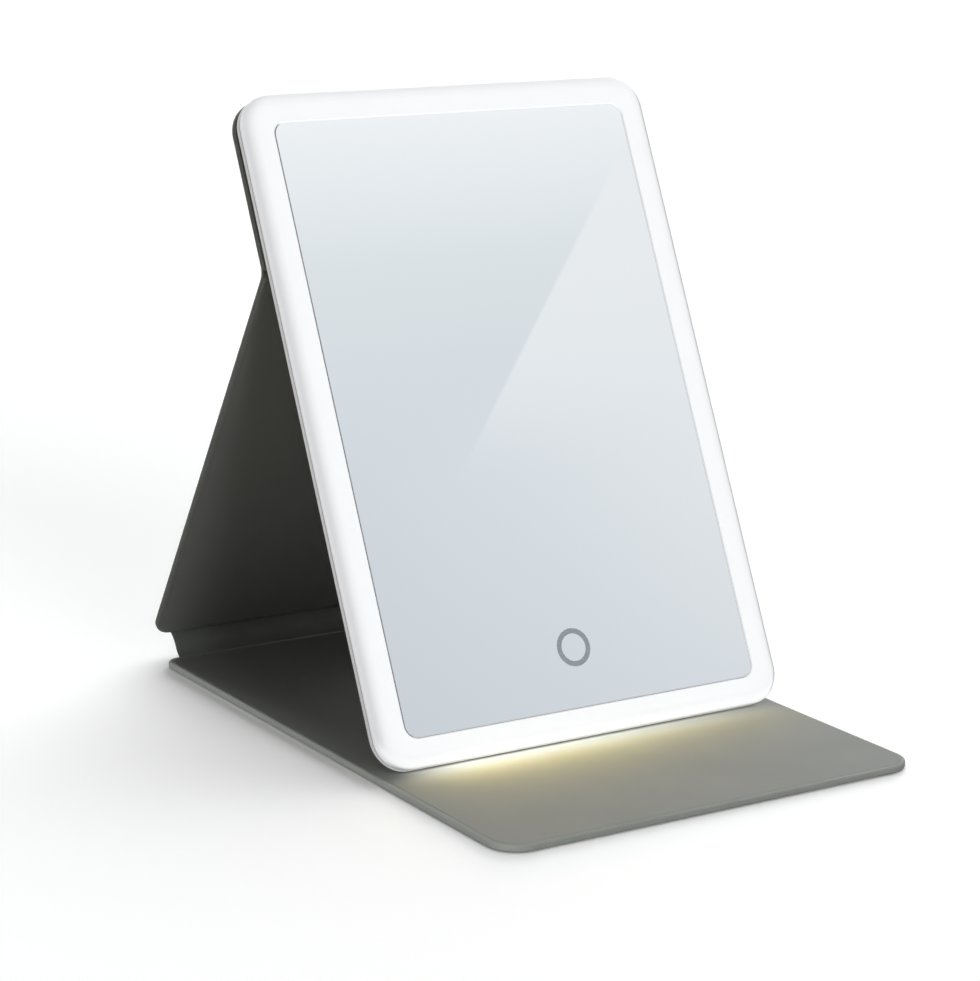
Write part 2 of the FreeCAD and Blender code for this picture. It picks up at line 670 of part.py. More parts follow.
def make_lamps():
    """Lamp strip round the light channel, open beside the charging socket, and its lamps."""
    body = new_body("led_strip")
    ring = new_sketch(body, "strip_ring", offset=size.housing_floor)
    inset_outline(ring, mirror_outline, strip_outset)
    inset_outline(ring, mirror_outline, strip_edge)
    pad(body, ring, size.strip_thickness)
    gap = new_sketch(body, "strip_gap", "YZ_Plane", half_width)
    gap_width = size.socket_width + 2 * size.lamp_width
    stadium(gap, size.ring_height, size.housing_floor, gap_width, 2 * size.lamp_width)
    pocket(body, gap, size.bezel_width)
    keep(body, "led_strip", mirror_place)

    lamps = []
    run_middle = strip_outset + size.strip_width / 2

    def lamp(x, y, upright):
        across = size.lamp_width if upright else size.lamp_length
        up = size.lamp_length if upright else size.lamp_width
        name = f"lamp_{len(lamps)}"
        lamps.append(block(name, mirror_place, x - across / 2, y - up / 2, strip_front, across, up,
                           size.lamp_height))

    def places(length):
        clear = (length - 2 * size.mirror_corner).value
        count = int(clear // size.lamp_pitch.value)
        return [(index - (count - 1) / 2) * size.lamp_pitch for index in range(count)]

    for offset in places(size.mirror_width):
        lamp(offset, run_middle, False)
        lamp(offset, size.mirror_height - run_middle, False)
    for offset in places(size.mirror_height):
        height = size.mirror_height / 2 + offset
        lamp(run_middle - half_width, height, True)
        if abs(height.value - size.ring_height.value) > (gap_width + size.lamp_length).value / 2:
            lamp(half_width - run_middle, height, True)
    group("led_chips", lamps)


def make_battery():
    """Flat pouch cell on its adhesive pad, with two leads down to the control board."""
    margin = size.battery_pad_margin
    half = battery_width / 2
    sheet_pad = block("cell_pad", mirror_place, margin - half, size.battery_place + margin,
                      size.housing_floor, battery_width - 2 * margin, size.battery_height - 2 * margin,
                      size.battery_pad_thickness)
    keep(sheet_pad, "battery_pad", sheet_pad.Placement)
    cell_outline = (
        battery_width,
        size.battery_height,
        size.battery_round,
        size.battery_round,
        size.battery_place,
    )
    body = new_body("battery")
    cell = new_sketch(body, "cell_outline", offset=battery_rear)
    rounded_rectangle(cell, *cell_outline)
    pad(body, cell, battery_thickness)
    keep(body, "battery", mirror_place)

    lead_foot = circuit_top - size.lead_overlap
    lead_level = circuit_front + size.lead_diameter / 2
    leads = [
        rod(f"lead_{i}", mirror_place, size.lead_offset + i * size.lead_spacing, lead_foot, lead_level,
            size.lead_diameter, size.battery_place - lead_foot, along_mirror=True)
        for i in range(2)
    ]
    group("battery_leads", leads)


def make_control_board():
    """Control board behind the touch ring, its parts, and two leads to the lamp strip."""
    board = block("circuit", mirror_place, -size.circuit_left, circuit_foot, circuit_rear,
                  circuit_end + size.circuit_left, size.circuit_height, size.circuit_thickness)
    keep(board, "control_board", board.Placement)
    chips = [
        block(f"chip_{i}", mirror_place, circuit_end - (i + 1) * size.part_spacing, size.ring_height,
              circuit_front, size.driver_side, size.driver_side, size.driver_height)
        for i in range(2)
    ]
    coil = block("coil", mirror_place, circuit_end - 3 * size.part_spacing, size.ring_height,
                 circuit_front, size.coil_side, size.coil_side, coil_height)
    group("board_chips", [coil] + chips)
    last_wire = magnet_place - size.foot_magnet_length / 2 - size.wire_offset
    wires = [
        rod(f"wire_{i}", mirror_place, last_wire - (1 - i) * size.lead_spacing, strip_edge,
            circuit_rear + size.wire_diameter / 2, size.wire_diameter, circuit_foot - strip_edge,
            along_mirror=True)
        for i in range(2)
    ]
    group("led_leads", wires)


def make_socket():
    """Charging socket: a thin shell with round ends around a contact blade."""
    body = new_body("usb_socket")
    shell = new_sketch(body, "socket_shell", "YZ_Plane", socket_end)
    stadium(shell, size.ring_height, socket_middle, size.socket_width, size.socket_height)
    pad(body, shell, size.socket_depth)
    mouth = new_sketch(body, "socket_mouth", "YZ_Plane", socket_mouth)
    inner = size.socket_width - 2 * size.socket_wall, size.socket_height - 2 * size.socket_wall
    stadium(mouth, size.ring_height, socket_middle, *inner)
    pocket(body, mouth, size.socket_depth - size.socket_back)
    blade = new_sketch(body, "socket_blade", "YZ_Plane", socket_end + size.socket_back)
    stadium(blade, size.ring_height, socket_middle, size.blade_width, size.blade_height)
    pad(body, blade, size.socket_depth - size.socket_back - size.blade_sink)
    keep(body, "usb_socket", mirror_place)


def make_foot_magnets():
    """Two bar magnets on the housing floor, above the lamp strip."""
    magnets = []
    for side in (-1, 1):
        left = side * magnet_place - size.foot_magnet_length / 2
        magnets.append(block(f"bar_magnet_{side + 1}", mirror_place, left, magnet_foot, size.housing_floor,
                             size.foot_magnet_length, size.foot_magnet_width, size.foot_magnet_thickness))
    group("foot_magnets", magnets)


def make_panel(name, place, outline, outer_face, bead=None):
    """Makes the wrapped skin and the card of a panel, whose outer face is at a given height."""
    body = new_body(name)
    card_level = outer_face + size.skin_thickness
    lining_level = card_level + size.card_thickness
    inner_face = lining_level + size.lining_thickness
    whole = new_sketch(body, name + "_outline", offset=outer_face)
    rounded_rectangle(whole, *outline)
    pad(body, whole, panel_thickness)

    bevel(body, size.edge_bevel, outer_face, inner_face)
    hollow = new_sketch(body, name + "_hollow", offset=inner_face)
    inset_outline(hollow, outline, size.edge_skin)
    pocket(body, hollow, size.card_thickness + size.lining_thickness)
    lip = new_sketch(body, name + "_turn_in", offset=lining_level)
    inset_outline(lip, outline, size.edge_skin)
    inset_outline(lip, outline, size.turn_in)
    pad(body, lip, size.lining_thickness)
    if bead:
        roll = new_sketch(body, name + "_bead", "YZ_Plane")
        circle(roll, bead, outer_face + size.hinge_depth, 2 * size.bead_radius)
        pad(body, roll, folder_width - 2 * size.crease_corner, symmetric=True)
    keep(body, name + "_skin", place)
    return card_level, lining_level


def make_upper_panel():
    """Upper panel of the folder, bonded to the housing above the crease."""
    foot = crease_height + panel_end
    outline = (
        folder_width,
        size.mirror_height - foot,
        size.crease_corner,
        size.mirror_corner,
        foot,
    )
    outer_face = -(size.bond_thickness + panel_thickness)
    card_level, lining_level = make_panel("upper", mirror_place, outline, outer_face)
    plate("upper_card", mirror_place, outline, size.edge_skin, card_level, size.card_thickness)
    plate("upper_lining", mirror_place, outline, size.turn_in, lining_level, size.lining_thickness)
    plate("bond_sheet", mirror_place, outline, size.bond_inset, -size.bond_thickness,
          size.bond_thickness, size.bond_corner)


def make_leg():
    """Rear leg, from the spine's crease up to the crease on the mirror's back."""
    outline = (
        folder_width,
        leg_length - panel_end,
        size.leg_corner,
        size.crease_corner,
        panel_end,
    )
    card_level, lining_level = make_panel("leg", leg_place, outline, ZERO, bead=leg_length)
    plate("leg_card", leg_place, outline, size.edge_skin, card_level, size.card_thickness)
    plate("leg_lining", leg_place, outline, size.turn_in, lining_level, size.lining_thickness)


def make_cover():
    """Front cover, flat on the table, with disc magnets under the mirror's foot."""
    outline = (
        folder_width,
        cover_length,
        size.cover_front_corner,
        size.cover_rear_corner,
        -cover_length / 2,
    )
    card_level, lining_level = make_panel("cover", cover_place, outline, ZERO)
    foot_line = Size(repr(pose["mirror"][0]), pose["mirror"][0])
    sides = [-magnet_place, magnet_place]
    holes = [(x, foot_line, size.cover_magnet_diameter) for x in sides]
    plate("cover_card", cover_place, outline, size.edge_skin, card_level, size.card_thickness, holes=holes)
    plate("cover_lining", cover_place, outline, size.turn_in, lining_level, size.lining_thickness)
    discs = [
        rod(f"disc_magnet_{i}", cover_place, x, foot_line, card_level, size.cover_magnet_diameter,
            size.card_thickness)
        for i, x in enumerate(sides)
    ]
    group("cover_magnets", discs)


def spine_band(sketch, low, high, margin=None):
    """Sketches a band along the soft spine, which is two equal arcs that bend opposite ways.

    It lies between two distances from the centre line. Its ends are round, about the creases, or
    with a margin they are square and stop short of the creases.
    """
    bend = size.spine_sway
    radius = size.spine_chord / 4 / bend.sine()
    rise = radius * bend.cosine()
    cut = bend - math.degrees(1) * margin / radius if margin else bend
    halves = []
    for half, turn in enumerate((1, -1)):
        across = size.spine_chord / 4 * (1 + 2 * half)
        middle = FreeCAD.Vector(across.value, turn * rise.value, 0)
        upward = math.radians(270 if half == 0 else 90)
        arcs = []
        for outset in (low, high):
            line = Part.Circle(middle, FreeCAD.Vector(0, 0, 1), (radius - turn * outset).value)
            span = upward - math.radians(cut.value), upward + math.radians(bend.value)
            arcs.append(sketch.addGeometry(Part.ArcOfCircle(line, *span), False))
        from_crease = Sketcher.Constraint("DistanceX", -1, 1, arcs[0], 3, middle.x)
        bind(sketch, from_crease, across, f"across_{half}")
        off_chord = Sketcher.Constraint("DistanceY", -1, 1, arcs[0], 3, middle.y)
        bind(sketch, off_chord, turn * rise, f"rise_{half}")
        sketch.addConstraint(Sketcher.Constraint("Coincident", arcs[0], 3, arcs[1], 3))
        halves.append(arcs)
    for arc, outset, label in zip(halves[0], (low, high), ("low", "high")):
        inside = radius - outset
        bind(sketch, Sketcher.Constraint("Radius", arc, inside.value), inside, "radius_" + label)
    for first, second in zip(*halves):
        sketch.addConstraint(Sketcher.Constraint("Tangent", first, 2, second, 2))
    for half, (arcs, turn) in enumerate(zip(halves, (1, -1))):
        near, far = (sketch.getPoint(arc, 1) for arc in arcs)
        if margin:
            end = sketch.addGeometry(Part.LineSegment(near, far), False)
            for place, arc in enumerate(arcs, start=1):
                sketch.addConstraint(Sketcher.Constraint("Coincident", end, place, arc, 1))
            sketch.addConstraint(Sketcher.Constraint("PointOnObject", arcs[0], 3, end))
            across = size.spine_chord / 4 * (1 + 2 * half) - turn * (radius - turn * low) * cut.sine()
            bind(sketch, Sketcher.Constraint("DistanceX", -1, 1, end, 1, near.x), across, f"end_{half}")
        else:
            outward = FreeCAD.Vector(-turn * bend.cosine().value, turn * bend.sine().value, 0)
            tip = (near + far) / 2 + outward * ((high - low) / 2).value
            end = sketch.addGeometry(Part.Arc(near, tip, far), False)
            starts_near = sketch.getPoint(end, 1).distanceToPoint(near) < (high - low).value / 2
            for arc, place in zip(arcs, (1, 2) if starts_near else (2, 1)):
                sketch.addConstraint(Sketcher.Constraint("Tangent", end, place, arc, 1))
            sketch.addConstraint(Sketcher.Constraint("PointOnObject", end, 3, -1))


def make_spine():
    """Soft spine between leg and cover: a swayed strip with rolled ends and a let-in lining."""
    face = size.bead_radius
    bed = face - size.spine_lining_thickness
    margin = size.spine_lining_margin
    lining_width = spine_width - 2 * margin
    body = new_body("spine_skin")
    strip = new_sketch(body, "spine_strip", "YZ_Plane")
    spine_band(strip, -face, face)
    pad(body, strip, spine_width, symmetric=True)
    recess = new_sketch(body, "spine_recess", "YZ_Plane")
    spine_band(recess, bed, face + size.overrun, margin)
    pocket(body, recess, lining_width, symmetric=True)
    keep(body, "spine_skin", spine_place)

    lining = new_body("spine_lining")
    sheet_line = new_sketch(lining, "spine_sheet", "YZ_Plane")
    spine_band(sheet_line, bed, face, margin)
    pad(lining, sheet_line, lining_width, symmetric=True)
    keep(lining, "spine_lining", spine_place)


make_glass()
make_glass_support()
make_light_frame()
make_rear_housing()
make_lamps()
make_battery()
make_control_board()
make_socket()
make_foot_magnets()
make_upper_panel()
make_leg()
make_spine()
make_cover()
doc.recompute()

for item in doc.Objects:
    if "Invalid" in item.State or "Error" in item.State:
        raise RuntimeError(f"{item.Name} failed: {item.State}")
for item in subparts:
    if item.Shape.isNull() or not item.Shape.isValid():
        raise RuntimeError(f"{item.Label} has no valid shape")

os.makedirs("parts", exist_ok=True)
for item in subparts:
    item.Shape.exportStep(f"parts/{item.Label}.step")
    print(f"{item.Label}: {len(item.Shape.Solids)} solids, {item.Shape.Volume:.1f} mm3")
for name, place in pose.items():
    print(name, place)
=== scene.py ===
# %% [markdown]
# # A folding makeup mirror with a glowing frame
#
# The mirror is a slim white unit: a flat glass, a milky frame that glows, and a white tray behind them.
# It is bonded to a grey leather-like folder that folds into a base, a soft spine and a rear leg.
# The construction model already has every piece at its real size. This lesson gives it its looks,
# in metres and in the same frame, and leaves each construction piece where it is.

# %% Load the construction model
import bmesh
import bpy
import json
import math
from mathutils import Matrix, Vector


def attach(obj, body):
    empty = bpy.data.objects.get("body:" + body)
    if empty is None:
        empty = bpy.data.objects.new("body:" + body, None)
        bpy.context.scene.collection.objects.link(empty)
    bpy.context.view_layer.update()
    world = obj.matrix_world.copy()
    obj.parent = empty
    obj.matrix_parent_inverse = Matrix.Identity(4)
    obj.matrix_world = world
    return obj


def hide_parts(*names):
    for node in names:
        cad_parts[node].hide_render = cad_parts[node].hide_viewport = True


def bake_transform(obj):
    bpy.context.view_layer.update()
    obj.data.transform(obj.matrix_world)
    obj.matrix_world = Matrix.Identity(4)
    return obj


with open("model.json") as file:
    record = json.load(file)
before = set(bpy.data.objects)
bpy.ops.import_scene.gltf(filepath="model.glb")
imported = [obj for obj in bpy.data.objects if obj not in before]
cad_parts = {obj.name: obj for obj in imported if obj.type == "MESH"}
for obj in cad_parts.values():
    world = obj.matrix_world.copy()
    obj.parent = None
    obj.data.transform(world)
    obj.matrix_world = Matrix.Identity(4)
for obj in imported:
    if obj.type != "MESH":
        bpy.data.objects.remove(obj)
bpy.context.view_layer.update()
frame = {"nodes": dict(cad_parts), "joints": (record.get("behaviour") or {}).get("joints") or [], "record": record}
MM = 0.001

# %% [markdown]
# ## Axes of the flat pieces
#
# The mirror and the leg both lean, so plain X, Y and Z are awkward for them. A board is a set of three
# axes that lie with a flat piece: across it, up along it, and out of its face. They could be typed in as
# angles, but reading them from the broadest face of the piece keeps them right when the model changes.

# %% A board: across, up and out
ACROSS = Vector((1, 0, 0))
BACK = Vector((0, 1, 0))
UP = Vector((0, 0, 1))
FRONT_UP = Vector((0, -1, 0.5))
FRONT_DOWN = Vector((0, -1, -0.5))


class Board:
    """The axes of a flat piece: across it, up along it, and out of its face."""

    def __init__(self, across, up, out):
        self.axes = across, up, out

    @classmethod
    def facing(cls, node, side):
        """Finds the axes of a flat piece from its broadest face on the given side."""
        faces = [face for face in frame["nodes"][node].data.polygons if face.normal.dot(side) > 0]
        out = max(faces, key=lambda face: face.area).normal.copy()
        return cls(ACROSS, out.cross(ACROSS), out)

    def point(self, across, up, out):
        """The point of the scene at these board coordinates."""
        return self.axes[0] * across + self.axes[1] * up + self.axes[2] * out

    def place(self, point):
        """The board coordinates of a point of the scene."""
        return Vector([axis.dot(point) for axis in self.axes])

    def places(self, node):
        """The board coordinates of every vertex of a piece."""
        return [self.place(vertex.co) for vertex in frame["nodes"][node].data.vertices]

    def span(self, node, axis):
        """The lowest and highest coordinate of a piece along one of the axes."""
        values = [place[axis] for place in self.places(node)]
        return min(values), max(values)

    def matrix_at(self, origin):
        """The placement of an object whose own axes are these, at a point of the scene."""
        placement = Matrix.Translation(origin)
        for column, axis in enumerate(self.axes):
            for row in range(3):
                placement[row][column] = axis[row]
        return placement


mirror_board = Board.facing("mirror_glass", FRONT_UP)
leg_board = Board.facing("leg_lining", FRONT_DOWN)
cover_board = Board.facing("cover_lining", UP)
lean = math.degrees(math.asin(mirror_board.axes[2].z))
print(f"the mirror leans back {lean:.1f} degrees")

# %% [markdown]
# ## Rounded outlines and skins
#
# Every visible piece here is a rounded rectangle with a moulded or folded edge. One could model each by
# hand, or bevel a box. A loft is tidier: an edge is drawn as a short list of outlines, each drawn in from
# the rim by some depth and set at some level, and a skin is stretched over them. Flat caps get a second
# outline just inside, so that smooth shading stays flat there.

# %% Outlines and lofts
CLOSE = 0.01 * MM
SHARP = 0.05 * MM
CORNER_STEPS = 12
SMOOTH_BELOW = math.radians(40)


class Outline:
    """A rectangle with round corners on a board."""

    def __init__(self, left, right, low, high, low_corner, high_corner):
        self.left, self.right = left, right
        self.low, self.high = low, high
        self.low_corner, self.high_corner = low_corner, high_corner

    @classmethod
    def of(cls, board, node):
        """Measures the outline of a flat piece."""
        places = board.places(node)
        right = max(place.x for place in places)
        low, high = board.span(node, 1)

        def corner(edge):
            return right - max(place.x for place in places if abs(place.y - edge) < CLOSE)

        return cls(board.span(node, 0)[0], right, low, high, corner(low), corner(high))

    def inset(self, depth):
        """The same outline drawn in from its edge, or out where the depth is negative."""
        sides = self.left + depth, self.right - depth, self.low + depth, self.high - depth
        return Outline(*sides, max(self.low_corner - depth, SHARP), max(self.high_corner - depth, SHARP))

    def points(self):
        """Points all round, with an arc at each corner."""
        low, high = self.low_corner, self.high_corner
        corners = [
            (self.right - low, self.low + low, low, -90),
            (self.right - high, self.high - high, high, 0),
            (self.left + high, self.high - high, high, 90),
            (self.left + low, self.low + low, low, 180),
        ]
        found = []
        for x, up, radius, start in corners:
            for step in range(CORNER_STEPS + 1):
                angle = math.radians(start + 90 * step / CORNER_STEPS)
                found.append((x + radius * math.cos(angle), up + radius * math.sin(angle)))
        return found


def new_piece(name, build):
    """Turns a mesh under construction into an object of the scene, with smooth round edges."""
    bmesh.ops.recalc_face_normals(build, faces=build.faces)
    for face in build.faces:
        face.smooth = True
    mesh = bpy.data.meshes.new(name)
    build.to_mesh(mesh)
    build.free()
    mesh.set_sharp_from_angle(angle=SMOOTH_BELOW)
    piece = bpy.data.objects.new(name, mesh)
    bpy.context.scene.collection.objects.link(piece)
    return piece


def skin_rows(build, rows, closed):
    """Adds the faces between rows of points, and caps or joins the first and last row."""
    pairs = list(zip(rows, rows[1:]))
    if closed:
        pairs.append((rows[-1], rows[0]))
    for lower, upper in pairs:
        for here in range(len(lower)):
            beside = (here + 1) % len(lower)
            build.faces.new((lower[here], lower[beside], upper[beside], upper[here]))
    if not closed:
        build.faces.new(rows[0])
        build.faces.new(rows[-1])


def loft(name, board, rings, closed=False):
    """Skins a stack of outlines, each at its own level."""
    build = bmesh.new()
    rows = [
        [build.verts.new(board.point(x, up, level)) for x, up in outline.points()]
        for outline, level in rings
    ]
    skin_rows(build, rows, closed)
    return new_piece(name, build)


def quarter(steps):
    """Sines and cosines of the angles of a quarter circle."""
    angles = [math.radians(90 * step / steps) for step in range(steps + 1)]
    return [(math.sin(angle), math.cos(angle)) for angle in angles]


print(f"a round corner has {len(quarter(CORNER_STEPS))} points")

# %% [markdown]
# ## Shader sums as expressions
#
# A procedural finish is a web of small nodes, and wiring each by hand hides the idea. A wire holds one
# socket, so that sums on wires are written as ordinary Python and add their own Math nodes. Every other
# node comes from one method: its type, its settings, then what goes into its sockets.

# %% A wire
class Wire:
    """A socket of a node tree, on which shader sums are written as expressions."""

    def __init__(self, tree, socket=None):
        self.tree, self.socket = tree, socket

    def add(self, kind, settings=None, sockets=None, output=0):
        """Adds a node: its type, its settings, and the values or wires of its sockets."""
        node = self.tree.nodes.new("ShaderNode" + kind)
        for name, value in (settings or {}).items():
            if name == "stops":
                Wire.set_stops(node.color_ramp, value)
            else:
                setattr(node, name, value)
        for name, value in (sockets or {}).items():
            if isinstance(value, Wire):
                self.tree.links.new(value.socket, node.inputs[name])
            else:
                node.inputs[name].default_value = value
        return Wire(self.tree, node.outputs[output])

    @staticmethod
    def set_stops(ramp, stops):
        """Gives a colour ramp its positions and colours."""
        while len(ramp.elements) < len(stops):
            ramp.elements.new(1)
        for element, (position, colour) in zip(ramp.elements, stops):
            element.position = position
            element.color = (*colour, 1)

    def sum(self, operation, first, second):
        """One operation of a Math node."""
        return self.add("Math", {"operation": operation}, {0: first, 1: second})

    def __add__(self, other):
        return self.sum("ADD", self, other)

    def __radd__(self, other):
        return self.sum("ADD", other, self)

    def __sub__(self, other):
        return self.sum("SUBTRACT", self, other)

    def __rsub__(self, other):
        return self.sum("SUBTRACT", other, self)

    def __mul__(self, other):
        return self.sum("MULTIPLY", self, other)

    def __rmul__(self, other):
        return self.sum("MULTIPLY", other, self)

    def either(self, other):
        """The larger of two values."""
        return self.sum("MAXIMUM", self, other)

    def rise(self, low, high):
        """A soft step from 0 at low to 1 at high."""
        sockets = {"Value": self, "From Min": low, "From Max": high}
        return self.add("MapRange", {"interpolation_type": "SMOOTHSTEP"}, sockets)

    def along(self, direction):
        """How far a vector goes in a direction."""
        return self.add("VectorMath", {"operation": "DOT_PRODUCT"}, {0: self, 1: direction}, "Value")

    def tint(self, low, high):
        """A colour between two, by this wire's share."""
        settings = {"data_type": "RGBA"}
        low, high = (value if isinstance(value, Wire) else (*value, 1) for value in (low, high))
        return self.add("Mix", settings, {0: self, 6: low, 7: high}, 2)


BLACK, WHITE = (0, 0, 0), (1, 1, 1)


def shade(colour, factor):
    """A colour made darker or lighter by a factor."""
    return tuple(factor * channel for channel in colour)


def seen(red, green, blue):
    """The linear colour of a colour as the eye reads it, in levels up to 255."""
    def linear(level):
        share = level / 255
        return share / 12.92 if share <= 0.04045 else ((share + 0.055) / 1.055) ** 2.4

    return linear(red), linear(green), linear(blue)


def new_finish(name, constants, feeds):
    """Makes a material from constants and from a function that gives the wires of its shader."""
    material = bpy.data.materials.new(name)
    material.use_nodes = True
    tree = material.node_tree
    shader = tree.nodes["Principled BSDF"]
    for socket, value in constants.items():
        shader.inputs[socket].default_value = (*value, 1) if isinstance(value, tuple) else value
    for socket, wire in feeds(Wire(tree)).items():
        tree.links.new(wire.socket, shader.inputs[socket])
    return material


def grain(bench, size, detail=2):
    """Soft noise of a given size, from 0 to 1, fixed to the piece."""
    place = bench.add("TexCoord", output="Object")
    sockets = {"Vector": place, "Scale": 1 / size, "Detail": detail}
    return bench.add("TexNoise", None, sockets, "Fac")


def bump(bench, height, depth):
    """The normal of a surface raised by a height of 0 to 1, times a depth."""
    return bench.add("Bump", None, {"Height": height, "Distance": depth, "Strength": 1})


def looked_at(bench):
    """1 for rays that show a surface to the eye, directly or in metal and glass, and 0 for light."""
    camera, glossy, clear = (
        bench.add("LightPath", output=ray)
        for ray in ("Is Camera Ray", "Is Glossy Ray", "Is Transmission Ray")
    )
    return camera.either(glossy).either(clear)


# %% [markdown]
# ## Leather-like skin and lining
#
# The folder is card wrapped in a grey coated cloth. Seen close it has a fine pebbled grain, and from a
# step away it is almost plain. Cells of a Voronoi texture make the pebbles, and a slow noise makes the
# colour and gloss uneven. The lining inside is smoother and duller, so it gets fine noise alone.

# %% Skin and lining finishes
SKIN_COLOUR = seen(142, 145, 140)
SKIN_DARK, SKIN_LIGHT = shade(SKIN_COLOUR, 0.95), shade(SKIN_COLOUR, 1.04)
SKIN_PATCH = 18 * MM
PEBBLE_SIZE, PEBBLE_DEPTH = 0.7 * MM, 0.05 * MM
PORE_SIZE, PORE_SHARE = 0.2 * MM, 0.2
LINING_COLOUR = seen(143, 145, 142)
LINING_DARK, LINING_LIGHT = shade(LINING_COLOUR, 0.92), shade(LINING_COLOUR, 1.06)
LINING_PATCH = 25 * MM
NAP_SIZE, NAP_DEPTH = 0.25 * MM, 0.03 * MM


def leather_skin(name):
    """Grey coated cloth with a fine pebbled grain."""
    def feeds(bench):
        place = bench.add("TexCoord", output="Object")
        cells = bench.add("TexVoronoi", {"feature": "SMOOTH_F1"},
                          {"Vector": place, "Scale": 1 / PEBBLE_SIZE, "Smoothness": 0.4}, "Distance")
        pebbles = 1 - cells
        slow = grain(bench, SKIN_PATCH)
        patch = (0.65 * slow + 0.35 * pebbles).rise(0.25, 0.75)
        return {
            "Base Color": patch.tint(SKIN_DARK, SKIN_LIGHT),
            "Roughness": 0.62 - 0.12 * slow,
            "Normal": bump(bench, pebbles + PORE_SHARE * grain(bench, PORE_SIZE), PEBBLE_DEPTH),
        }

    return new_finish(name, {"Specular IOR Level": 0.15}, feeds)


def smooth_lining(name):
    """The dull lining on the inner side of the folder."""
    def feeds(bench):
        nap = grain(bench, NAP_SIZE, 3)
        slow = grain(bench, LINING_PATCH)
        patch = 0.7 * slow + 0.3 * nap
        return {
            "Base Color": patch.tint(LINING_DARK, LINING_LIGHT),
            "Roughness": 0.78 - 0.1 * slow,
            "Normal": bump(bench, nap, NAP_DEPTH),
        }

    return new_finish(name, {"Specular IOR Level": 0.25}, feeds)


# %% [markdown]
# ## Milky frame and white tray
#
# The frame is a moulded light guide. Lamps behind it make it glow white all round, and along its foot a
# stronger, warm light falls on the base. Emission that depends on the place and direction of the surface
# does this. It stays with the piece when it moves, because both are read in the piece's own frame.
# A lamp is far brighter than a picture can show, so the eye sees the foot as bright as the rest, and only
# the light that leaves it has its full strength. It is white at the very foot and golden just above, and it
# dims towards the right. The glow also carries painted shade: its level changes with the crown's tilt, and
# it is darker where the crown turns to the right or up, near the foot where it turns down, and towards the
# seam at the rear. This painted shade draws the thin line along the frame's edge.
# The tray is plain white plastic with a fine moulded texture. Its rim carries a painted glow in place of light
# coming through the thin plastic, and the glow stops short of the seam, which paints shade along it.

# %% Frame finish
GLOW = 10.0
GLOW_TINT = seen(250, 251, 254)
# The glow's level by tilt paints shade across the crown: a darker band part way round, and no glow on faces that
# look back.
GLOW_AND_SHADE_BY_TILT = [
    # share of a half turn from the front, level
    (0.0, 0.61),
    (0.145, 0.45),
    (0.22, 0.42),
    (0.5, 0.60),
    (0.62, 0.0),
]
SEAM_PAINTED_SHADE = 1.1 * MM
# How far the surface turns from the front, as a share of its normal, where each effect starts and is full
# The three turns below mark where painted shade starts and is full.
SHADE_TURNED_RIGHT = (0.3, 0.6)
SHADE_TURNED_UP = (0.2, 1.0)
SHADE_TURNED_DOWN = (0.6, 1.0)
FOOT_TURN = (0.0, 0.3)
LAMP_TURN = (0.3, 0.8)
# Shares of the glow taken away as painted shade where the crown turns up, and down near the foot.
PAINTED_SHADE_UP = 0.5
PAINTED_SHADE_DOWN = 0.75
FOOT_LEVEL = 0.64
FOOT_GOLD = (14.5, 10.2, 0.0)
FOOT_WHITE = (13.0, 12.2, 8.5)
UNDER_GLOW = (6.0, 5.8, 5.2)
# Heights above the foot, and places across it, between which each effect fades
NEAR_FOOT = (6.5 * MM, 13 * MM)
GOLD_BAND = (5.2 * MM, 14.3 * MM)
WHITE_BAND = (1.5 * MM, 4.5 * MM)
FOOT_END = 34 * MM
FOOT_DIM = (-45 * MM, 120 * MM)
MILK_DARK, MILK_LIGHT = (0.60, 0.61, 0.62), (0.65, 0.66, 0.67)
MILK_PATCH = 9 * MM
MILK_GRAIN, MILK_DEPTH = 0.5 * MM, 0.004 * MM


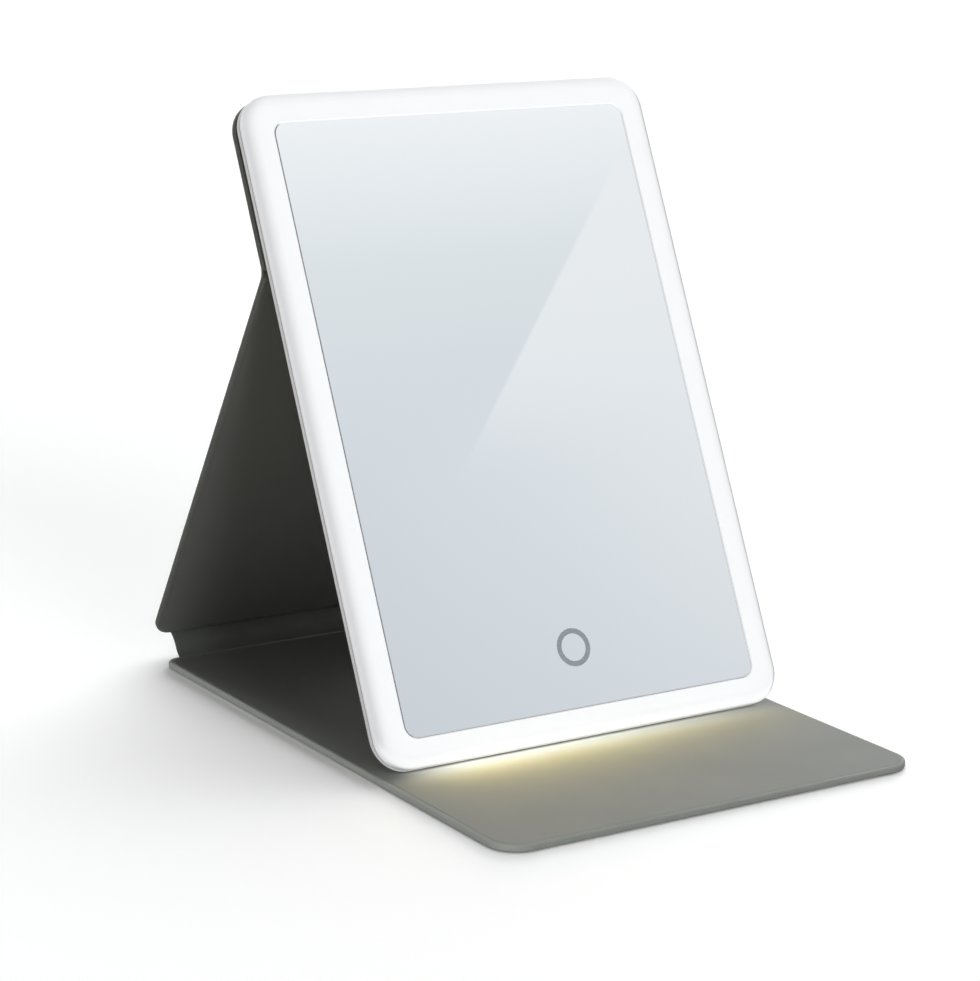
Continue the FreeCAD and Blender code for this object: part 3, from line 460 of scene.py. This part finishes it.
def milky_plastic(name):
    """The glowing light guide with painted shade by tilt: what the eye sees of it, and the light that it sends
    out.
    """
    foot_level = mirror_board.span("light_frame", 1)[0]
    half_width = mirror_board.span("light_frame", 0)[1]
    seam = mirror_board.span("light_frame", 2)[0]

    def feeds(bench):
        normal = bench.add("TexCoord", output="Normal")
        place = bench.add("TexCoord", output="Object")
        rightward, upward, facing = (normal.along(axis) for axis in mirror_board.axes)
        across, up, out = (place.along(axis) for axis in mirror_board.axes)
        downward = 0 - upward
        tilt = bench.sum("ARCCOSINE", facing, 0) * (1 / math.pi)
        stops = [(share, shade(GLOW_TINT, level / GLOW)) for share, level in GLOW_AND_SHADE_BY_TILT]
        level = bench.add("ValToRGB", {"stops": stops}, {"Fac": tilt})
        level = downward.rise(*FOOT_TURN).tint(level, shade(GLOW_TINT, FOOT_LEVEL / GLOW))
        # Painted shade: the glow dims where the crown turns right, up and, near the foot, down, and it fades out
        # towards the seam.
        share_after_painted_shade = (1 - rightward.rise(*SHADE_TURNED_RIGHT)) * (1 - PAINTED_SHADE_UP * upward.rise(*SHADE_TURNED_UP))
        height = up - foot_level
        near_foot = 1 - height.rise(*NEAR_FOOT)
        share_after_painted_shade = share_after_painted_shade * (1 - PAINTED_SHADE_DOWN * downward.rise(*SHADE_TURNED_DOWN) * near_foot)
        glow = (share_after_painted_shade * (out - seam).rise(0, SEAM_PAINTED_SHADE)).tint(BLACK, level)
        left_end = (0 - across).rise(half_width - FOOT_END, half_width)
        low = (1 - height.rise(*GOLD_BAND)) * (1 - left_end) * (1 - across.rise(*FOOT_DIM))
        white, gold, under = (shade(colour, 1 / GLOW) for colour in (FOOT_WHITE, FOOT_GOLD, UNDER_GLOW))
        foot = height.rise(*WHITE_BAND).tint(white, gold)
        lamp = (downward.rise(*LAMP_TURN) * low).tint(glow, under)
        lamp = (facing.rise(*LAMP_TURN) * low).tint(lamp, foot)
        cloud = grain(bench, MILK_PATCH)
        return {
            "Base Color": cloud.tint(MILK_DARK, MILK_LIGHT),
            "Emission Color": looked_at(bench).tint(lamp, glow),
            "Roughness": 0.32 + 0.08 * cloud,
            "Normal": bump(bench, grain(bench, MILK_GRAIN), MILK_DEPTH),
        }

    return new_finish(name, {"Emission Strength": GLOW, "IOR": 1.49, "Specular IOR Level": 0.15}, feeds)


# %% Tray finish
TRAY_PAINTED_GLOW = 0.30
SEAM_GAP = 0.5 * MM
TRAY_DARK, TRAY_LIGHT = (0.66, 0.67, 0.66), (0.72, 0.73, 0.72)
TRAY_PATCH = 14 * MM
SPARK_SIZE, SPARK_DEPTH = 0.25 * MM, 0.015 * MM
RIM_TURN = (-0.6, -0.2)


def white_plastic(name):
    """White plastic whose rim carries a painted glow, which stops short of the seam and paints shade there."""
    seam = mirror_board.span("light_frame", 2)[0]

    def feeds(bench):
        spark = grain(bench, SPARK_SIZE, 3)
        cloud = grain(bench, TRAY_PATCH)
        facing = bench.add("TexCoord", output="Normal").along(mirror_board.axes[2])
        level = bench.add("TexCoord", output="Object").along(mirror_board.axes[2])
        # The rim's sides get a painted glow, which stops short of the seam and so paints shade along it.
        rim = facing.rise(*RIM_TURN) * (1 - level.rise(seam - SEAM_GAP, seam))
        return {
            "Base Color": cloud.tint(TRAY_DARK, TRAY_LIGHT),
            "Emission Color": rim.tint(BLACK, WHITE),
            "Roughness": 0.38 + 0.12 * spark,
            "Normal": bump(bench, spark, SPARK_DEPTH),
        }

    return new_finish(name, {"IOR": 1.5, "Emission Strength": TRAY_PAINTED_GLOW}, feeds)


# %% [markdown]
# ## Silvered glass and its ring mark
#
# A mirror is silver behind clear glass, which acts like a slightly blue metal with almost no roughness.
# Its ground rim is dull and grey, with painted light that makes it brighter along the top and bottom and
# painted shade that makes it darker on the right. One finish serves both: where the surface turns away
# from the face of the glass it becomes rough. The ring mark, which a finger touches, is etched and looks
# frosted.

# %% Glass finishes
SILVER = (0.90, 0.925, 0.935)
SILVER_DULL = shade(SILVER, 0.995)
FILM_SIZE = 40 * MM
RIM_LEFT = (0.44, 0.46, 0.47)
RIM_RIGHT_SHADED = (0.35, 0.365, 0.375)
RIM_ENDS_LIT = (0.84, 0.86, 0.87)
FACE_TURN, SIDE_TURN, END_TURN = (0.9, 0.99), (0.1, 0.5), (0.2, 0.6)
MARK_DARK, MARK_LIGHT = seen(171, 180, 190), seen(185, 194, 205)
FROST_SIZE, FROST_DEPTH = 0.15 * MM, 0.01 * MM


def silvered_glass(name):
    """A mirror with a ground rim, painted lighter at top and bottom and darker on the right."""
    def feeds(bench):
        normal = bench.add("TexCoord", output="Normal")
        rightward, upward, facing = (normal.along(axis) for axis in mirror_board.axes)
        rim = 1 - facing.rise(*FACE_TURN)
        # The rim is painted darker on the right and lighter at the top and bottom.
        ground = rightward.rise(*SIDE_TURN).tint(RIM_LEFT, RIM_RIGHT_SHADED)
        ground = upward.either(0 - upward).rise(*END_TURN).tint(ground, RIM_ENDS_LIT)
        film = grain(bench, FILM_SIZE)
        return {
            "Base Color": rim.tint(film.tint(SILVER_DULL, SILVER), ground),
            "Roughness": 0.012 + 0.01 * film + 0.4 * rim,
        }

    return new_finish(name, {"Metallic": 1.0}, feeds)


def etched_mark(name):
    """The frosted ring in the glass."""
    def feeds(bench):
        frost = grain(bench, FROST_SIZE, 3)
        return {
            "Base Color": frost.tint(MARK_DARK, MARK_LIGHT),
            "Roughness": 0.6 + 0.2 * frost,
            "Normal": bump(bench, frost, FROST_DEPTH),
        }

    return new_finish(name, {"Specular IOR Level": 0.3}, feeds)


# %% [markdown]
# ## Finishes of the inner pieces
#
# The cell, board, lamps, leads, magnets and foam sit inside the mirror or show as a thin line. They need
# honest finishes for anyone who opens the model, but no study each, so one function takes the colour
# from the record and adds grain, gloss and metal from a short table.

# %% Inner finishes
recorded = {row["slot"]: tuple(row["base_color"]) for row in frame["record"]["materials"]}
INNER_FINISHES = {
    # slot: grain size in metres, grain depth in metres, roughness, metallic
    "adhesive": (0.8 * MM, 0.01 * MM, 0.5, 0.0),
    "bond_foam": (0.5 * MM, 0.05 * MM, 0.9, 0.0),
    "copper_foil": (1.5 * MM, 0.01 * MM, 0.3, 1.0),
    "contact_foam": (0.4 * MM, 0.05 * MM, 0.85, 0.0),
    "strip_white": (0.6 * MM, 0.01 * MM, 0.5, 0.0),
    "lamp_yellow": (0.3 * MM, 0.01 * MM, 0.35, 0.0),
    "cell_foil": (2.5 * MM, 0.04 * MM, 0.35, 0.9),
    "lead_red": (0.5 * MM, 0.01 * MM, 0.45, 0.0),
    "board_green": (0.8 * MM, 0.02 * MM, 0.4, 0.0),
    "chip_black": (0.2 * MM, 0.01 * MM, 0.55, 0.0),
    "socket_steel": (0.4 * MM, 0.006 * MM, 0.28, 1.0),
    "magnet_nickel": (0.7 * MM, 0.006 * MM, 0.25, 1.0),
    "card_grey": (0.3 * MM, 0.04 * MM, 0.9, 0.0),
}
GLOSS_SWING = 0.08
GRAIN_DARK, GRAIN_LIGHT = 0.85, 1.1


def inner_finish(name):
    """A grained finish in the colour that the record gives."""
    size, depth, roughness, metallic = INNER_FINISHES[name]
    dark, light = (shade(recorded[name], factor) for factor in (GRAIN_DARK, GRAIN_LIGHT))

    def feeds(bench):
        fine = grain(bench, size, 3)
        return {
            "Base Color": fine.tint(dark, light),
            "Roughness": (roughness - GLOSS_SWING) + 2 * GLOSS_SWING * fine,
            "Normal": bump(bench, fine, depth),
        }

    return new_finish(name, {"Metallic": metallic}, feeds)


# %% Make every finish, and dress the construction pieces
finishes = {name: inner_finish(name) for name in INNER_FINISHES}
finishes["skin_grey"] = leather_skin("skin_grey")
finishes["lining_grey"] = smooth_lining("lining_grey")
finishes["milky_plastic"] = milky_plastic("milky_plastic")
finishes["white_plastic"] = white_plastic("white_plastic")
finishes["mirror_silver"] = silvered_glass("mirror_silver")
finishes["touch_mark"] = etched_mark("touch_mark")


def dress(piece, slot):
    """Gives a piece the finish of one of the record's slots."""
    piece.data.materials.clear()
    piece.data.materials.append(finishes[slot])
    return piece


slots = {row["node"]: row["material_slot"] for row in frame["record"]["subparts"]}
for node, slot in slots.items():
    dress(frame["nodes"][node], slot)
print("made", len(finishes), "finishes")


def settle(piece, body, slot, *nodes):
    """Dresses a new piece, lets it ride on a body, and hides the pieces it stands for."""
    dress(piece, slot)
    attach(piece, body)
    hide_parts(*nodes)
    low, high = (Vector(corner) for corner in (piece.bound_box[0], piece.bound_box[6]))
    print(piece.name, "measures", [round(side / MM, 1) for side in high - low], "mm")
    return piece


# %% [markdown]
# ## The glowing frame
#
# The frame is one moulding with a soft crown that runs round the glass. Its section is drawn as pairs of
# an outline and a level: up the outer side, over the crown, down into the opening, and back behind.
# The crown is a quarter of an ellipse. The rear edge and the edge at the glass get a small round, which
# catches the thin line of light that a moulding has. A charging socket looks out through the right side,
# so the last step cuts its slot with a boolean.

# %% Loft the frame
frame_edge = Outline.of(mirror_board, "light_frame")
glass = Outline.of(mirror_board, "mirror_glass")
frame_rear, frame_front = mirror_board.span("light_frame", 2)
seat = mirror_board.span("glass_tape", 2)[0]
GLASS_GAP = 0.15 * MM
CROWN_WIDTH = 4.5 * MM
CROWN_DROP = 2.2 * MM
FRAME_WALL = 1.4 * MM
FRAME_FACE = 1.3 * MM
FRAME_LIP = 1.6 * MM
EDGE_ROUND = 0.25 * MM
EDGE_STEPS = 4
CROWN_STEPS = 16


def frame_section():
    """The outlines of the frame from its rear edge over the crown to the glass, and back behind."""
    opening = glass.inset(-GLASS_GAP)
    rings = [
        (frame_edge.inset(EDGE_ROUND * (1 - sine)), frame_rear + EDGE_ROUND * (1 - cosine))
        for sine, cosine in quarter(EDGE_STEPS)
    ]
    crown_foot = frame_front - CROWN_DROP
    rings += [
        (frame_edge.inset(CROWN_WIDTH * (1 - cosine)), crown_foot + CROWN_DROP * sine)
        for sine, cosine in quarter(CROWN_STEPS)
    ]
    rings.append((opening.inset(-2 * EDGE_ROUND), frame_front))
    rings += [
        (opening.inset(-EDGE_ROUND * (1 - sine)), frame_front - EDGE_ROUND * (1 - cosine))
        for sine, cosine in quarter(EDGE_STEPS)
    ]
    ceiling = frame_front - FRAME_FACE
    return rings + [
        (opening, seat),
        (opening.inset(-FRAME_LIP), seat),
        (opening.inset(-FRAME_LIP), ceiling),
        (frame_edge.inset(FRAME_WALL), ceiling),
        (frame_edge.inset(FRAME_WALL), frame_rear),
    ]


glow_frame = loft("glow_frame", mirror_board, frame_section(), closed=True)
print("the frame's section has", len(frame_section()), "outlines")

# %% Cut the slot of the charging socket
SLOT_CLEARANCE = 0.15 * MM
SLOT_DEPTH = 8 * MM


def socket_cutter():
    """A bar with round ends, a little larger than the socket, that reaches into the right side."""
    side_board = Board(mirror_board.axes[1], mirror_board.axes[2], ACROSS)
    low, high = side_board.span("usb_socket", 0)
    rear, front = side_board.span("usb_socket", 1)
    radius = (front - rear) / 2
    slot_shape = Outline(low, high, rear, front, radius, radius).inset(-SLOT_CLEARANCE)
    mouth = frame_edge.right
    reach = [(slot_shape, mouth - SLOT_DEPTH), (slot_shape, mouth + SLOT_DEPTH)]
    return loft("slot_cutter", side_board, reach)


def cut(piece, cutter):
    """Takes the cutter's shape out of a piece and keeps the result as its mesh."""
    boolean = piece.modifiers.new("cut", "BOOLEAN")
    boolean.operation = "DIFFERENCE"
    boolean.solver = "EXACT"
    boolean.object = cutter
    result = piece.evaluated_get(bpy.context.evaluated_depsgraph_get())
    mesh = bpy.data.meshes.new_from_object(result)
    piece.modifiers.clear()
    piece.data = mesh
    mesh.set_sharp_from_angle(angle=SMOOTH_BELOW)
    bpy.data.objects.remove(cutter)


cut(glow_frame, socket_cutter())
settle(glow_frame, "mirror", "milky_plastic", "light_frame")

# %% [markdown]
# ## Wrapped panels
#
# Each panel is card wrapped in skin. The skin rolls softly over the edge, shows a narrow turned-in border
# on the inner side, and stops where the lining is let in. A bevelled box would look like a tile, so the
# edge is two quarter rounds, a larger one outside and a smaller one inside, with a tuck at the lining.

# %% Build a panel
OUTER_ROUND = 0.6 * MM
INNER_ROUND = 0.65 * MM
FLAT_BORDER = 0.5 * MM
TUCK = 0.14 * MM
LINING_BED = 0.45 * MM
WRAP_STEPS = 6
TUCK_STEPS = 3


def panel_rings(edge, outer, inner, turn_in):
    """The outlines of a wrap, from its outer face round the edge to the bed of the lining."""
    rings = [(edge.inset(OUTER_ROUND + FLAT_BORDER), outer)]
    rings += [
        (edge.inset(OUTER_ROUND * (1 - sine)), outer + OUTER_ROUND * (1 - cosine))
        for sine, cosine in quarter(WRAP_STEPS)
    ]
    rings += [
        (edge.inset(INNER_ROUND * (1 - cosine)), inner - INNER_ROUND * (1 - sine))
        for sine, cosine in quarter(WRAP_STEPS)
    ]
    return rings + [
        (edge.inset(turn_in - TUCK), inner),
        (edge.inset(turn_in), inner - TUCK),
        (edge.inset(turn_in), inner - LINING_BED),
    ]


def lining_rings(sheet, inner):
    """The outlines of a lining, with a small round at its edge."""
    rings = [(sheet, inner - LINING_BED)]
    rings += [
        (sheet.inset(TUCK * (1 - cosine)), inner - TUCK * (1 - sine))
        for sine, cosine in quarter(TUCK_STEPS)
    ]
    return rings + [(sheet.inset(TUCK + FLAT_BORDER), inner)]


def wrapped_panel(panel, body, board, has_lining):
    """Makes the wrap of a panel, and its inlay where the lining shows."""
    card = Outline.of(board, panel + "_card")
    sheet = Outline.of(board, panel + "_lining")
    side = board.span(panel + "_skin", 0)[1]
    outer, inner = board.span(panel + "_skin", 2)
    edge = card.inset(card.right - side)
    wrap = loft(panel + "_wrap", board, panel_rings(edge, outer, inner, side - sheet.right))
    settle(wrap, body, "skin_grey", panel + "_skin")
    if has_lining:
        inlay = loft(panel + "_inlay", board, lining_rings(sheet, inner))
        settle(inlay, body, "lining_grey", panel + "_lining")


wrapped_panel("cover", "cover", cover_board, True)
wrapped_panel("leg", "leg", leg_board, True)
wrapped_panel("upper", "mirror", mirror_board, False)

# %% [markdown]
# ## The soft spine
#
# The spine is a narrow strip of skin between the base and the leg, held only at its two creases, so it
# sways in an S. Two equal arcs that bend opposite ways follow the construction's own line. The section
# has round ends, and its thickness runs out at the two sides so that the strip has a soft edge.

# %% Build the spine
creases = {joint["name"]: Vector(joint["pos_m"]) for joint in frame["joints"]}
spine_foot, spine_head = creases["spine_fold"], creases["leg_swing"]
chord = spine_head - spine_foot
spine_along = chord.normalized()
spine_board = Board(ACROSS, spine_along, ACROSS.cross(spine_along))
spine_half = spine_board.place(spine_foot).y - spine_board.span("spine_skin", 1)[0]
foot_place = spine_board.place(spine_foot)
sway_depth = spine_board.span("spine_skin", 2)[1] - foot_place.z - spine_half
sway = 2 * math.atan(sway_depth / (chord.length / 4))
ARC_STEPS = 8
END_STEPS = 6
SIDE_STEPS = 5
SIDE_SHARE = 0.15


def spine_line():
    """Points of the spine's centre line with the direction in which each looks."""
    radius = chord.length / 4 / math.sin(sway)
    line = []
    for half, turn in enumerate((1, -1)):
        middle = chord.length / 4 * (1 + 2 * half)
        for step in range(half, ARC_STEPS + 1):
            angle = sway * (2 * step / ARC_STEPS - 1)
            along = middle + radius * math.sin(angle)
            off = turn * radius * (math.cos(sway) - math.cos(angle))
            line.append((Vector((along, off)), Vector((-turn * math.sin(angle), math.cos(angle)))))
    return line


def spine_section(half):
    """The outline of the spine's section: along its back, round its head, and back along its face."""
    line = spine_line()
    back = [place - look * half for place, look in line]
    face = [place + look * half for place, look in reversed(line)]

    def end(place, look, forward):
        """Points of the round end, from the back to the face."""
        points = []
        for step in range(1, END_STEPS):
            angle = math.pi * step / END_STEPS
            points.append(place + half * (forward * math.sin(angle) - look * math.cos(angle)))
        return points

    first, last = line[0], line[-1]
    head_forward = Vector((last[1].y, -last[1].x))
    foot_forward = Vector((-first[1].y, first[1].x))
    foot_end = end(first[0], -first[1], foot_forward)
    return back + end(*last, head_forward) + face + foot_end


def build_spine():
    """Skins the spine's section from side to side, thin at both sides."""
    left = spine_board.span("spine_skin", 0)[0]
    stations = [
        (left + spine_half * (1 - cosine), SIDE_SHARE + (1 - SIDE_SHARE) * sine)
        for sine, cosine in quarter(SIDE_STEPS)
    ]
    stations += [(-across, share) for across, share in reversed(stations)]
    build = bmesh.new()
    rows = []
    for across, share in stations:
        section = spine_section(spine_half * share)
        rows.append([
            build.verts.new(spine_board.point(across, foot_place.y + place.x, foot_place.z + place.y))
            for place in section
        ])
    skin_rows(build, rows, closed=False)
    return new_piece("spine_wrap", build)


settle(build_spine(), "spine", "skin_grey", "spine_skin", "spine_lining")

# %% [markdown]
# ## Creases
#
# At each crease the outer skin runs on from one panel to the next and bends with it. A strip that follows
# both outer faces and rounds the crease line stands for it, shaped for the rest pose, and its ends sink
# into the panels so that no step shows. At the mirror's back the crease opens outwards, and there the skin
# sweeps across it in a soft curve.

# %% Build the crease strips
hinge_depth = spine_foot.z
STRIP_TAIL = 2.4 * MM
STRIP_DEPTH = 0.3 * MM
BACK_DEPTH = 1.2 * MM
BACK_SWEEP = 5 * MM
BACK_INSET = 0.3 * MM
STRIP_LIFT = 0.03 * MM
BEND_STEPS = 10
TURN_REACH = 0.4 * MM
LEAST_TURN = 1e-5


def crease_strip(name, crease, before, after, half_width, depth=STRIP_DEPTH, sweep=0):
    """Makes the skin over a crease. Before and after are unit directions along the two outer faces.

    A sweep is the radius of the curve with which the skin fills a crease that opens outwards.
    """
    def outward(direction):
        """The direction in which the outer face looks."""
        return Vector((0, direction.z, -direction.y))

    start, end = outward(before), outward(after)
    turn = start.angle(end)
    reach, middle, radius = TURN_REACH, crease, 0
    if sweep:
        radius = hinge_depth + sweep
        reach = radius * math.tan(turn / 2)
        middle = crease - before * reach + start * radius
    outline = [
        (crease - before * (reach + STRIP_TAIL), start, -STRIP_LIFT),
        (crease - before * reach, start, STRIP_LIFT),
    ]
    for step in range(1, BEND_STEPS):
        look = start.slerp(end, step / BEND_STEPS, start) if turn > LEAST_TURN else start
        outline.append((middle - look * radius, look, STRIP_LIFT / 2))
    outline += [
        (crease + after * reach, end, STRIP_LIFT),
        (crease + after * (reach + STRIP_TAIL), end, -STRIP_LIFT),
    ]
    build = bmesh.new()
    rows = []
    for across in (-half_width, half_width):
        shift = ACROSS * across
        top = [place + look * (hinge_depth + lift) + shift for place, look, lift in outline]
        under = [place + look * (hinge_depth + lift - depth) + shift for place, look, lift in outline]
        rows.append([build.verts.new(point) for point in top + under[::-1]])
    skin_rows(build, rows, closed=False)
    strip = new_piece(name, build)
    dress(strip, "skin_grey")
    crease - before * reach
    crease + after * reach
    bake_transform(strip)
    print(name, f"bends {math.degrees(turn):.0f} degrees at rest")


def spine_direction(end):
    """The direction of the spine's line at its foot or head, from the base towards the leg."""
    look = spine_line()[end][1]
    return (spine_board.axes[1] * look.y - spine_board.axes[2] * look.x).normalized()


panel_side = leg_board.span("leg_skin", 0)[1] - BACK_INSET
spine_side = spine_board.span("spine_skin", 0)[1] - spine_half
crease_strip("base_crease", spine_foot, BACK, spine_direction(0), spine_side)
crease_strip("leg_crease", spine_head, spine_direction(-1), leg_board.axes[1], spine_side)
crease_strip("back_crease", creases["mirror_fold"],
             leg_board.axes[1], mirror_board.axes[1], panel_side, BACK_DEPTH, BACK_SWEEP)

# %% [markdown]
# ## The camera
#
# The camera's place, aim and lens come from fitting the model's straight edges to those of the
# photograph. A long lens from the left front, a little above, gives the same mild perspective.

# %% Place the camera
IMAGE_WIDTH, IMAGE_HEIGHT = 980, 981
CAMERA_PLACE = Vector((-0.489858, -0.761426, 0.287831))
CAMERA_TURN = 32.099
CAMERA_DIP = 13.251
CAMERA_ROLL = 0.3145
FOCAL_PIXELS = 2912.5
SENSOR_WIDTH = 36.0


def camera_axes():
    """The camera's right, up and forward directions."""
    turn, dip, roll = (math.radians(angle) for angle in (CAMERA_TURN, CAMERA_DIP, CAMERA_ROLL))
    forward = Vector((math.sin(turn) * math.cos(dip), math.cos(turn) * math.cos(dip), -math.sin(dip)))
    right = forward.cross(UP).normalized()
    up = right.cross(forward)
    return (
        right * math.cos(roll) + up * math.sin(roll),
        up * math.cos(roll) - right * math.sin(roll),
        forward,
    )


def add_camera():
    """Adds the camera at its fitted place, with its fitted lens."""
    lens = bpy.data.cameras.new("camera")
    lens.sensor_fit = "HORIZONTAL"
    lens.sensor_width = SENSOR_WIDTH
    lens.lens = FOCAL_PIXELS * SENSOR_WIDTH / IMAGE_WIDTH
    camera = bpy.data.objects.new("camera", lens)
    bpy.context.scene.collection.objects.link(camera)
    right, up, forward = camera_axes()
    camera.matrix_world = Board(right, up, -forward).matrix_at(CAMERA_PLACE)
    bpy.context.scene.camera = camera
    print(f"lens {lens.lens:.1f} mm")


add_camera()

# %% [markdown]
# ## Floor and surroundings
#
# The object stands on a plain white floor in a white room. The camera, and metal and glass, see both as
# white, while the light that falls on the object is kept at a plain level. A light path node tells the
# two kinds of ray apart. The floor keeps the object's soft shadow, because most of its white is
# reflected light that the object can block.

# %% Lay the floor
FLOOR_SIZE = 6.0
FLOOR_DROP = 0.1 * MM
FLOOR_GLOW = 0.11
FLOOR_WHITE = 0.98
FLOOR_BOUNCE = (0.298, 0.286, 0.267)


def flat_sheet(name, board, middle, half_width, half_height):
    """A single flat face for the stage."""
    build = bmesh.new()
    corners = [(-1, -1), (1, -1), (1, 1), (-1, 1)]
    build.faces.new([
        build.verts.new(middle + board.point(x * half_width, up * half_height, 0)) for x, up in corners
    ])
    sheet = new_piece(name, build)
    return sheet


def floor_finish():
    """White to the eye, and of a plain level to the light that bounces from it."""
    def feeds(bench):
        shown = looked_at(bench)
        return {
            "Base Color": shown.tint(FLOOR_BOUNCE, (FLOOR_WHITE,) * 3),
            "Emission Color": shown.tint(BLACK, (FLOOR_GLOW,) * 3),
        }

    constants = {"Roughness": 1.0, "Specular IOR Level": 0.0, "Emission Strength": 1.0}
    return new_finish("floor_white", constants, feeds)


floor = flat_sheet("floor", cover_board, Vector((0, 0, -FLOOR_DROP)), FLOOR_SIZE, FLOOR_SIZE)
floor.data.materials.append(floor_finish())
print("the floor is", 2 * FLOOR_SIZE, "m wide")

# %% Light the surroundings
ROOM_LIGHT = shade((1.0, 0.95, 0.86), 0.06)


def light_room():
    """A room that looks white and lights the object softly."""
    world = bpy.data.worlds.new("white_room")
    world.use_nodes = True
    bpy.context.scene.world = world
    bench = Wire(world.node_tree)
    background = world.node_tree.nodes["Background"]
    shown = looked_at(bench)
    tint = shown.tint(ROOM_LIGHT, WHITE)
    world.node_tree.links.new(tint.socket, background.inputs["Color"])
    print("the room's own light is", [round(channel, 3) for channel in ROOM_LIGHT])


light_room()

# %% [markdown]
# ## Lights
#
# The photograph has no hard shadow, only a soft one that hugs the base, a little stronger at the left.
# That is a broad light from above, leaning to the right and the back. A lamp near the object would fade
# across the floor, so this is a sun with a very wide disc: it lights the whole floor alike, its shadows
# are soft, and the tent under the leg stays dark, because little light comes in low. A weak light from
# the front keeps the faces that look forward readable, and the mirror shields the tent from it.
# Two low lights are flagged off most things. One from the left draws the thin bright edge of the base,
# and lights the base's wrap alone. One from the right and behind lights the floor alone, and only the base
# blocks it, which draws the soft shadow that hugs the base on the near sides.

# %% Hang the lights
LIGHT_COLOUR = (0.985, 0.995, 1.0)
LIGHTS = {
    # name: where it shines from, width of its disc in degrees, power
    "overhead_light": (Vector((0.54, 0.56, 0.9)), 75, 2.3),
    "front_light": (Vector((0.05, -1.0, 0.3)), 30, 1.2),
    "edge_light": (Vector((-1.0, -0.4, 0.15)), 20, 2.2),
    "contact_light": (Vector((0.8, 0.8, 0.19)), 28, 4.2),
}


def wide_sun(name, origin, spread, power):
    """A sun that shines from a direction, with a disc as wide as the spread in degrees."""
    lamp = bpy.data.lights.new(name, "SUN")
    lamp.energy = power
    lamp.angle = math.radians(spread)
    lamp.color = LIGHT_COLOUR
    holder = bpy.data.objects.new(name, lamp)
    bpy.context.scene.collection.objects.link(holder)
    holder.location = origin
    holder.rotation_euler = (-origin).to_track_quat("-Z", "Y").to_euler()
    print(name, "shines from", [round(value, 2) for value in origin.normalized()])
    return holder


def group_of(piece):
    """A collection that holds one piece alone, for a light that is flagged off the rest."""
    alone = bpy.data.collections.new(piece.name + "_alone")
    alone.objects.link(piece)
    return alone


lights = {name: wide_sun(name, *row) for name, row in LIGHTS.items()}
base_alone = group_of(bpy.data.objects["cover_wrap"])
lights["edge_light"].light_linking.receiver_collection = base_alone
lights["contact_light"].light_linking.receiver_collection = group_of(floor)
lights["contact_light"].light_linking.blocker_collection = base_alone

# %% [markdown]
# ## What the glass reflects
#
# A mirror shows only what stands before it, so a photographer sets a card there. This one lies parallel to
# the glass, out of the camera's sight, and carries a pale blue fade with a lighter sheen to one side of a
# slanting line. Because the card is parallel to the glass, the reflection is the card drawn smaller about
# the camera's own mirror image, and the fade can be written in the glass's own shares, across and up.

# %% Set up the reflected card
CARD_DISTANCE = 0.5
CARD_HALF_WIDTH = 0.8
SHEEN_TOP = (612, 165)
SHEEN_FOOT = (455, 480)
SHEEN_EDGE = 1.5 * MM
SHEEN_RISE = (0.36, 0.6)
SHEEN_AT_FOOT, SHEEN_GAIN = 0.38, 0.7
SHEEN_COLOUR = seen(232, 236, 239)
FADE = [
    (0.0, seen(201, 209, 215)),
    (0.45, seen(209, 217, 223)),
    (0.75, seen(219, 226, 230)),
    (1.0, seen(238, 242, 245)),
]

glass_front = mirror_board.span("mirror_glass", 2)[1]
eye = mirror_board.place(CAMERA_PLACE)
eye_distance = eye.z - glass_front
card_scale = (eye_distance + CARD_DISTANCE) / eye_distance


def on_glass(pixel):
    """The place on the glass, in board coordinates, that a pixel of the photograph shows."""
    right, up, forward = camera_axes()
    ray = (
        right * (pixel[0] - IMAGE_WIDTH / 2)
        + up * (IMAGE_HEIGHT / 2 - pixel[1])
        + forward * FOCAL_PIXELS
    )
    ray = mirror_board.place(ray)
    return (eye + ray * (eye_distance / -ray.z)).xy


def card_finish():
    """The pale fade of the card and the sheen beyond its slanting line."""
    def feeds(bench):
        place = bench.add("TexCoord", output="Object")
        across = (place.along(ACROSS) - eye.x) * (1 / card_scale) + eye.x
        up = (place.along(mirror_board.axes[1]) - eye.y) * (1 / card_scale) + eye.y
        rise = (up - glass.low) * (1 / (glass.high - glass.low))
        side = (across - glass.left) * (1 / (glass.right - glass.left))
        fade = bench.add("ValToRGB", {"stops": FADE}, {"Fac": rise})
        top, foot = on_glass(SHEEN_TOP), on_glass(SHEEN_FOOT)
        line = (top - foot).normalized()
        beyond = (across - foot.x) * line.y - (up - foot.y) * line.x
        above = beyond.rise(0, SHEEN_EDGE)
        sharp = rise.rise(*SHEEN_RISE)
        sheen = (above * sharp + side * (1 - sharp)) * (SHEEN_AT_FOOT + SHEEN_GAIN * rise)
        lit = sheen.tint(fade, SHEEN_COLOUR)
        return {"Emission Color": bench.add("VectorMath", {"operation": "DIVIDE"}, {0: lit, 1: SILVER})}

    constants = {"Base Color": BLACK, "Specular IOR Level": 0.0, "Emission Strength": 1.0}
    return new_finish("card_fade", constants, feeds)


def add_card():
    """Stands the card before the glass, seen only in reflections."""
    middle = (glass.left + glass.right) / 2, (glass.low + glass.high) / 2
    across, up = (eye[axis] + card_scale * (middle[axis] - eye[axis]) for axis in (0, 1))
    place = mirror_board.point(across, up, glass_front + CARD_DISTANCE)
    card = flat_sheet("reflected_card", mirror_board, place, CARD_HALF_WIDTH, CARD_HALF_WIDTH)
    card.data.materials.append(card_finish())
    card.visible_camera = False
    card.visible_diffuse = False
    card.visible_shadow = False
    print("the card stands at", [round(value, 2) for value in place])


add_card()

# %% [markdown]
# ## Finish
#
# The last cell sets the plain colour view.

# %% Set the colour view
bpy.context.scene.view_settings.view_transform = "Standard"
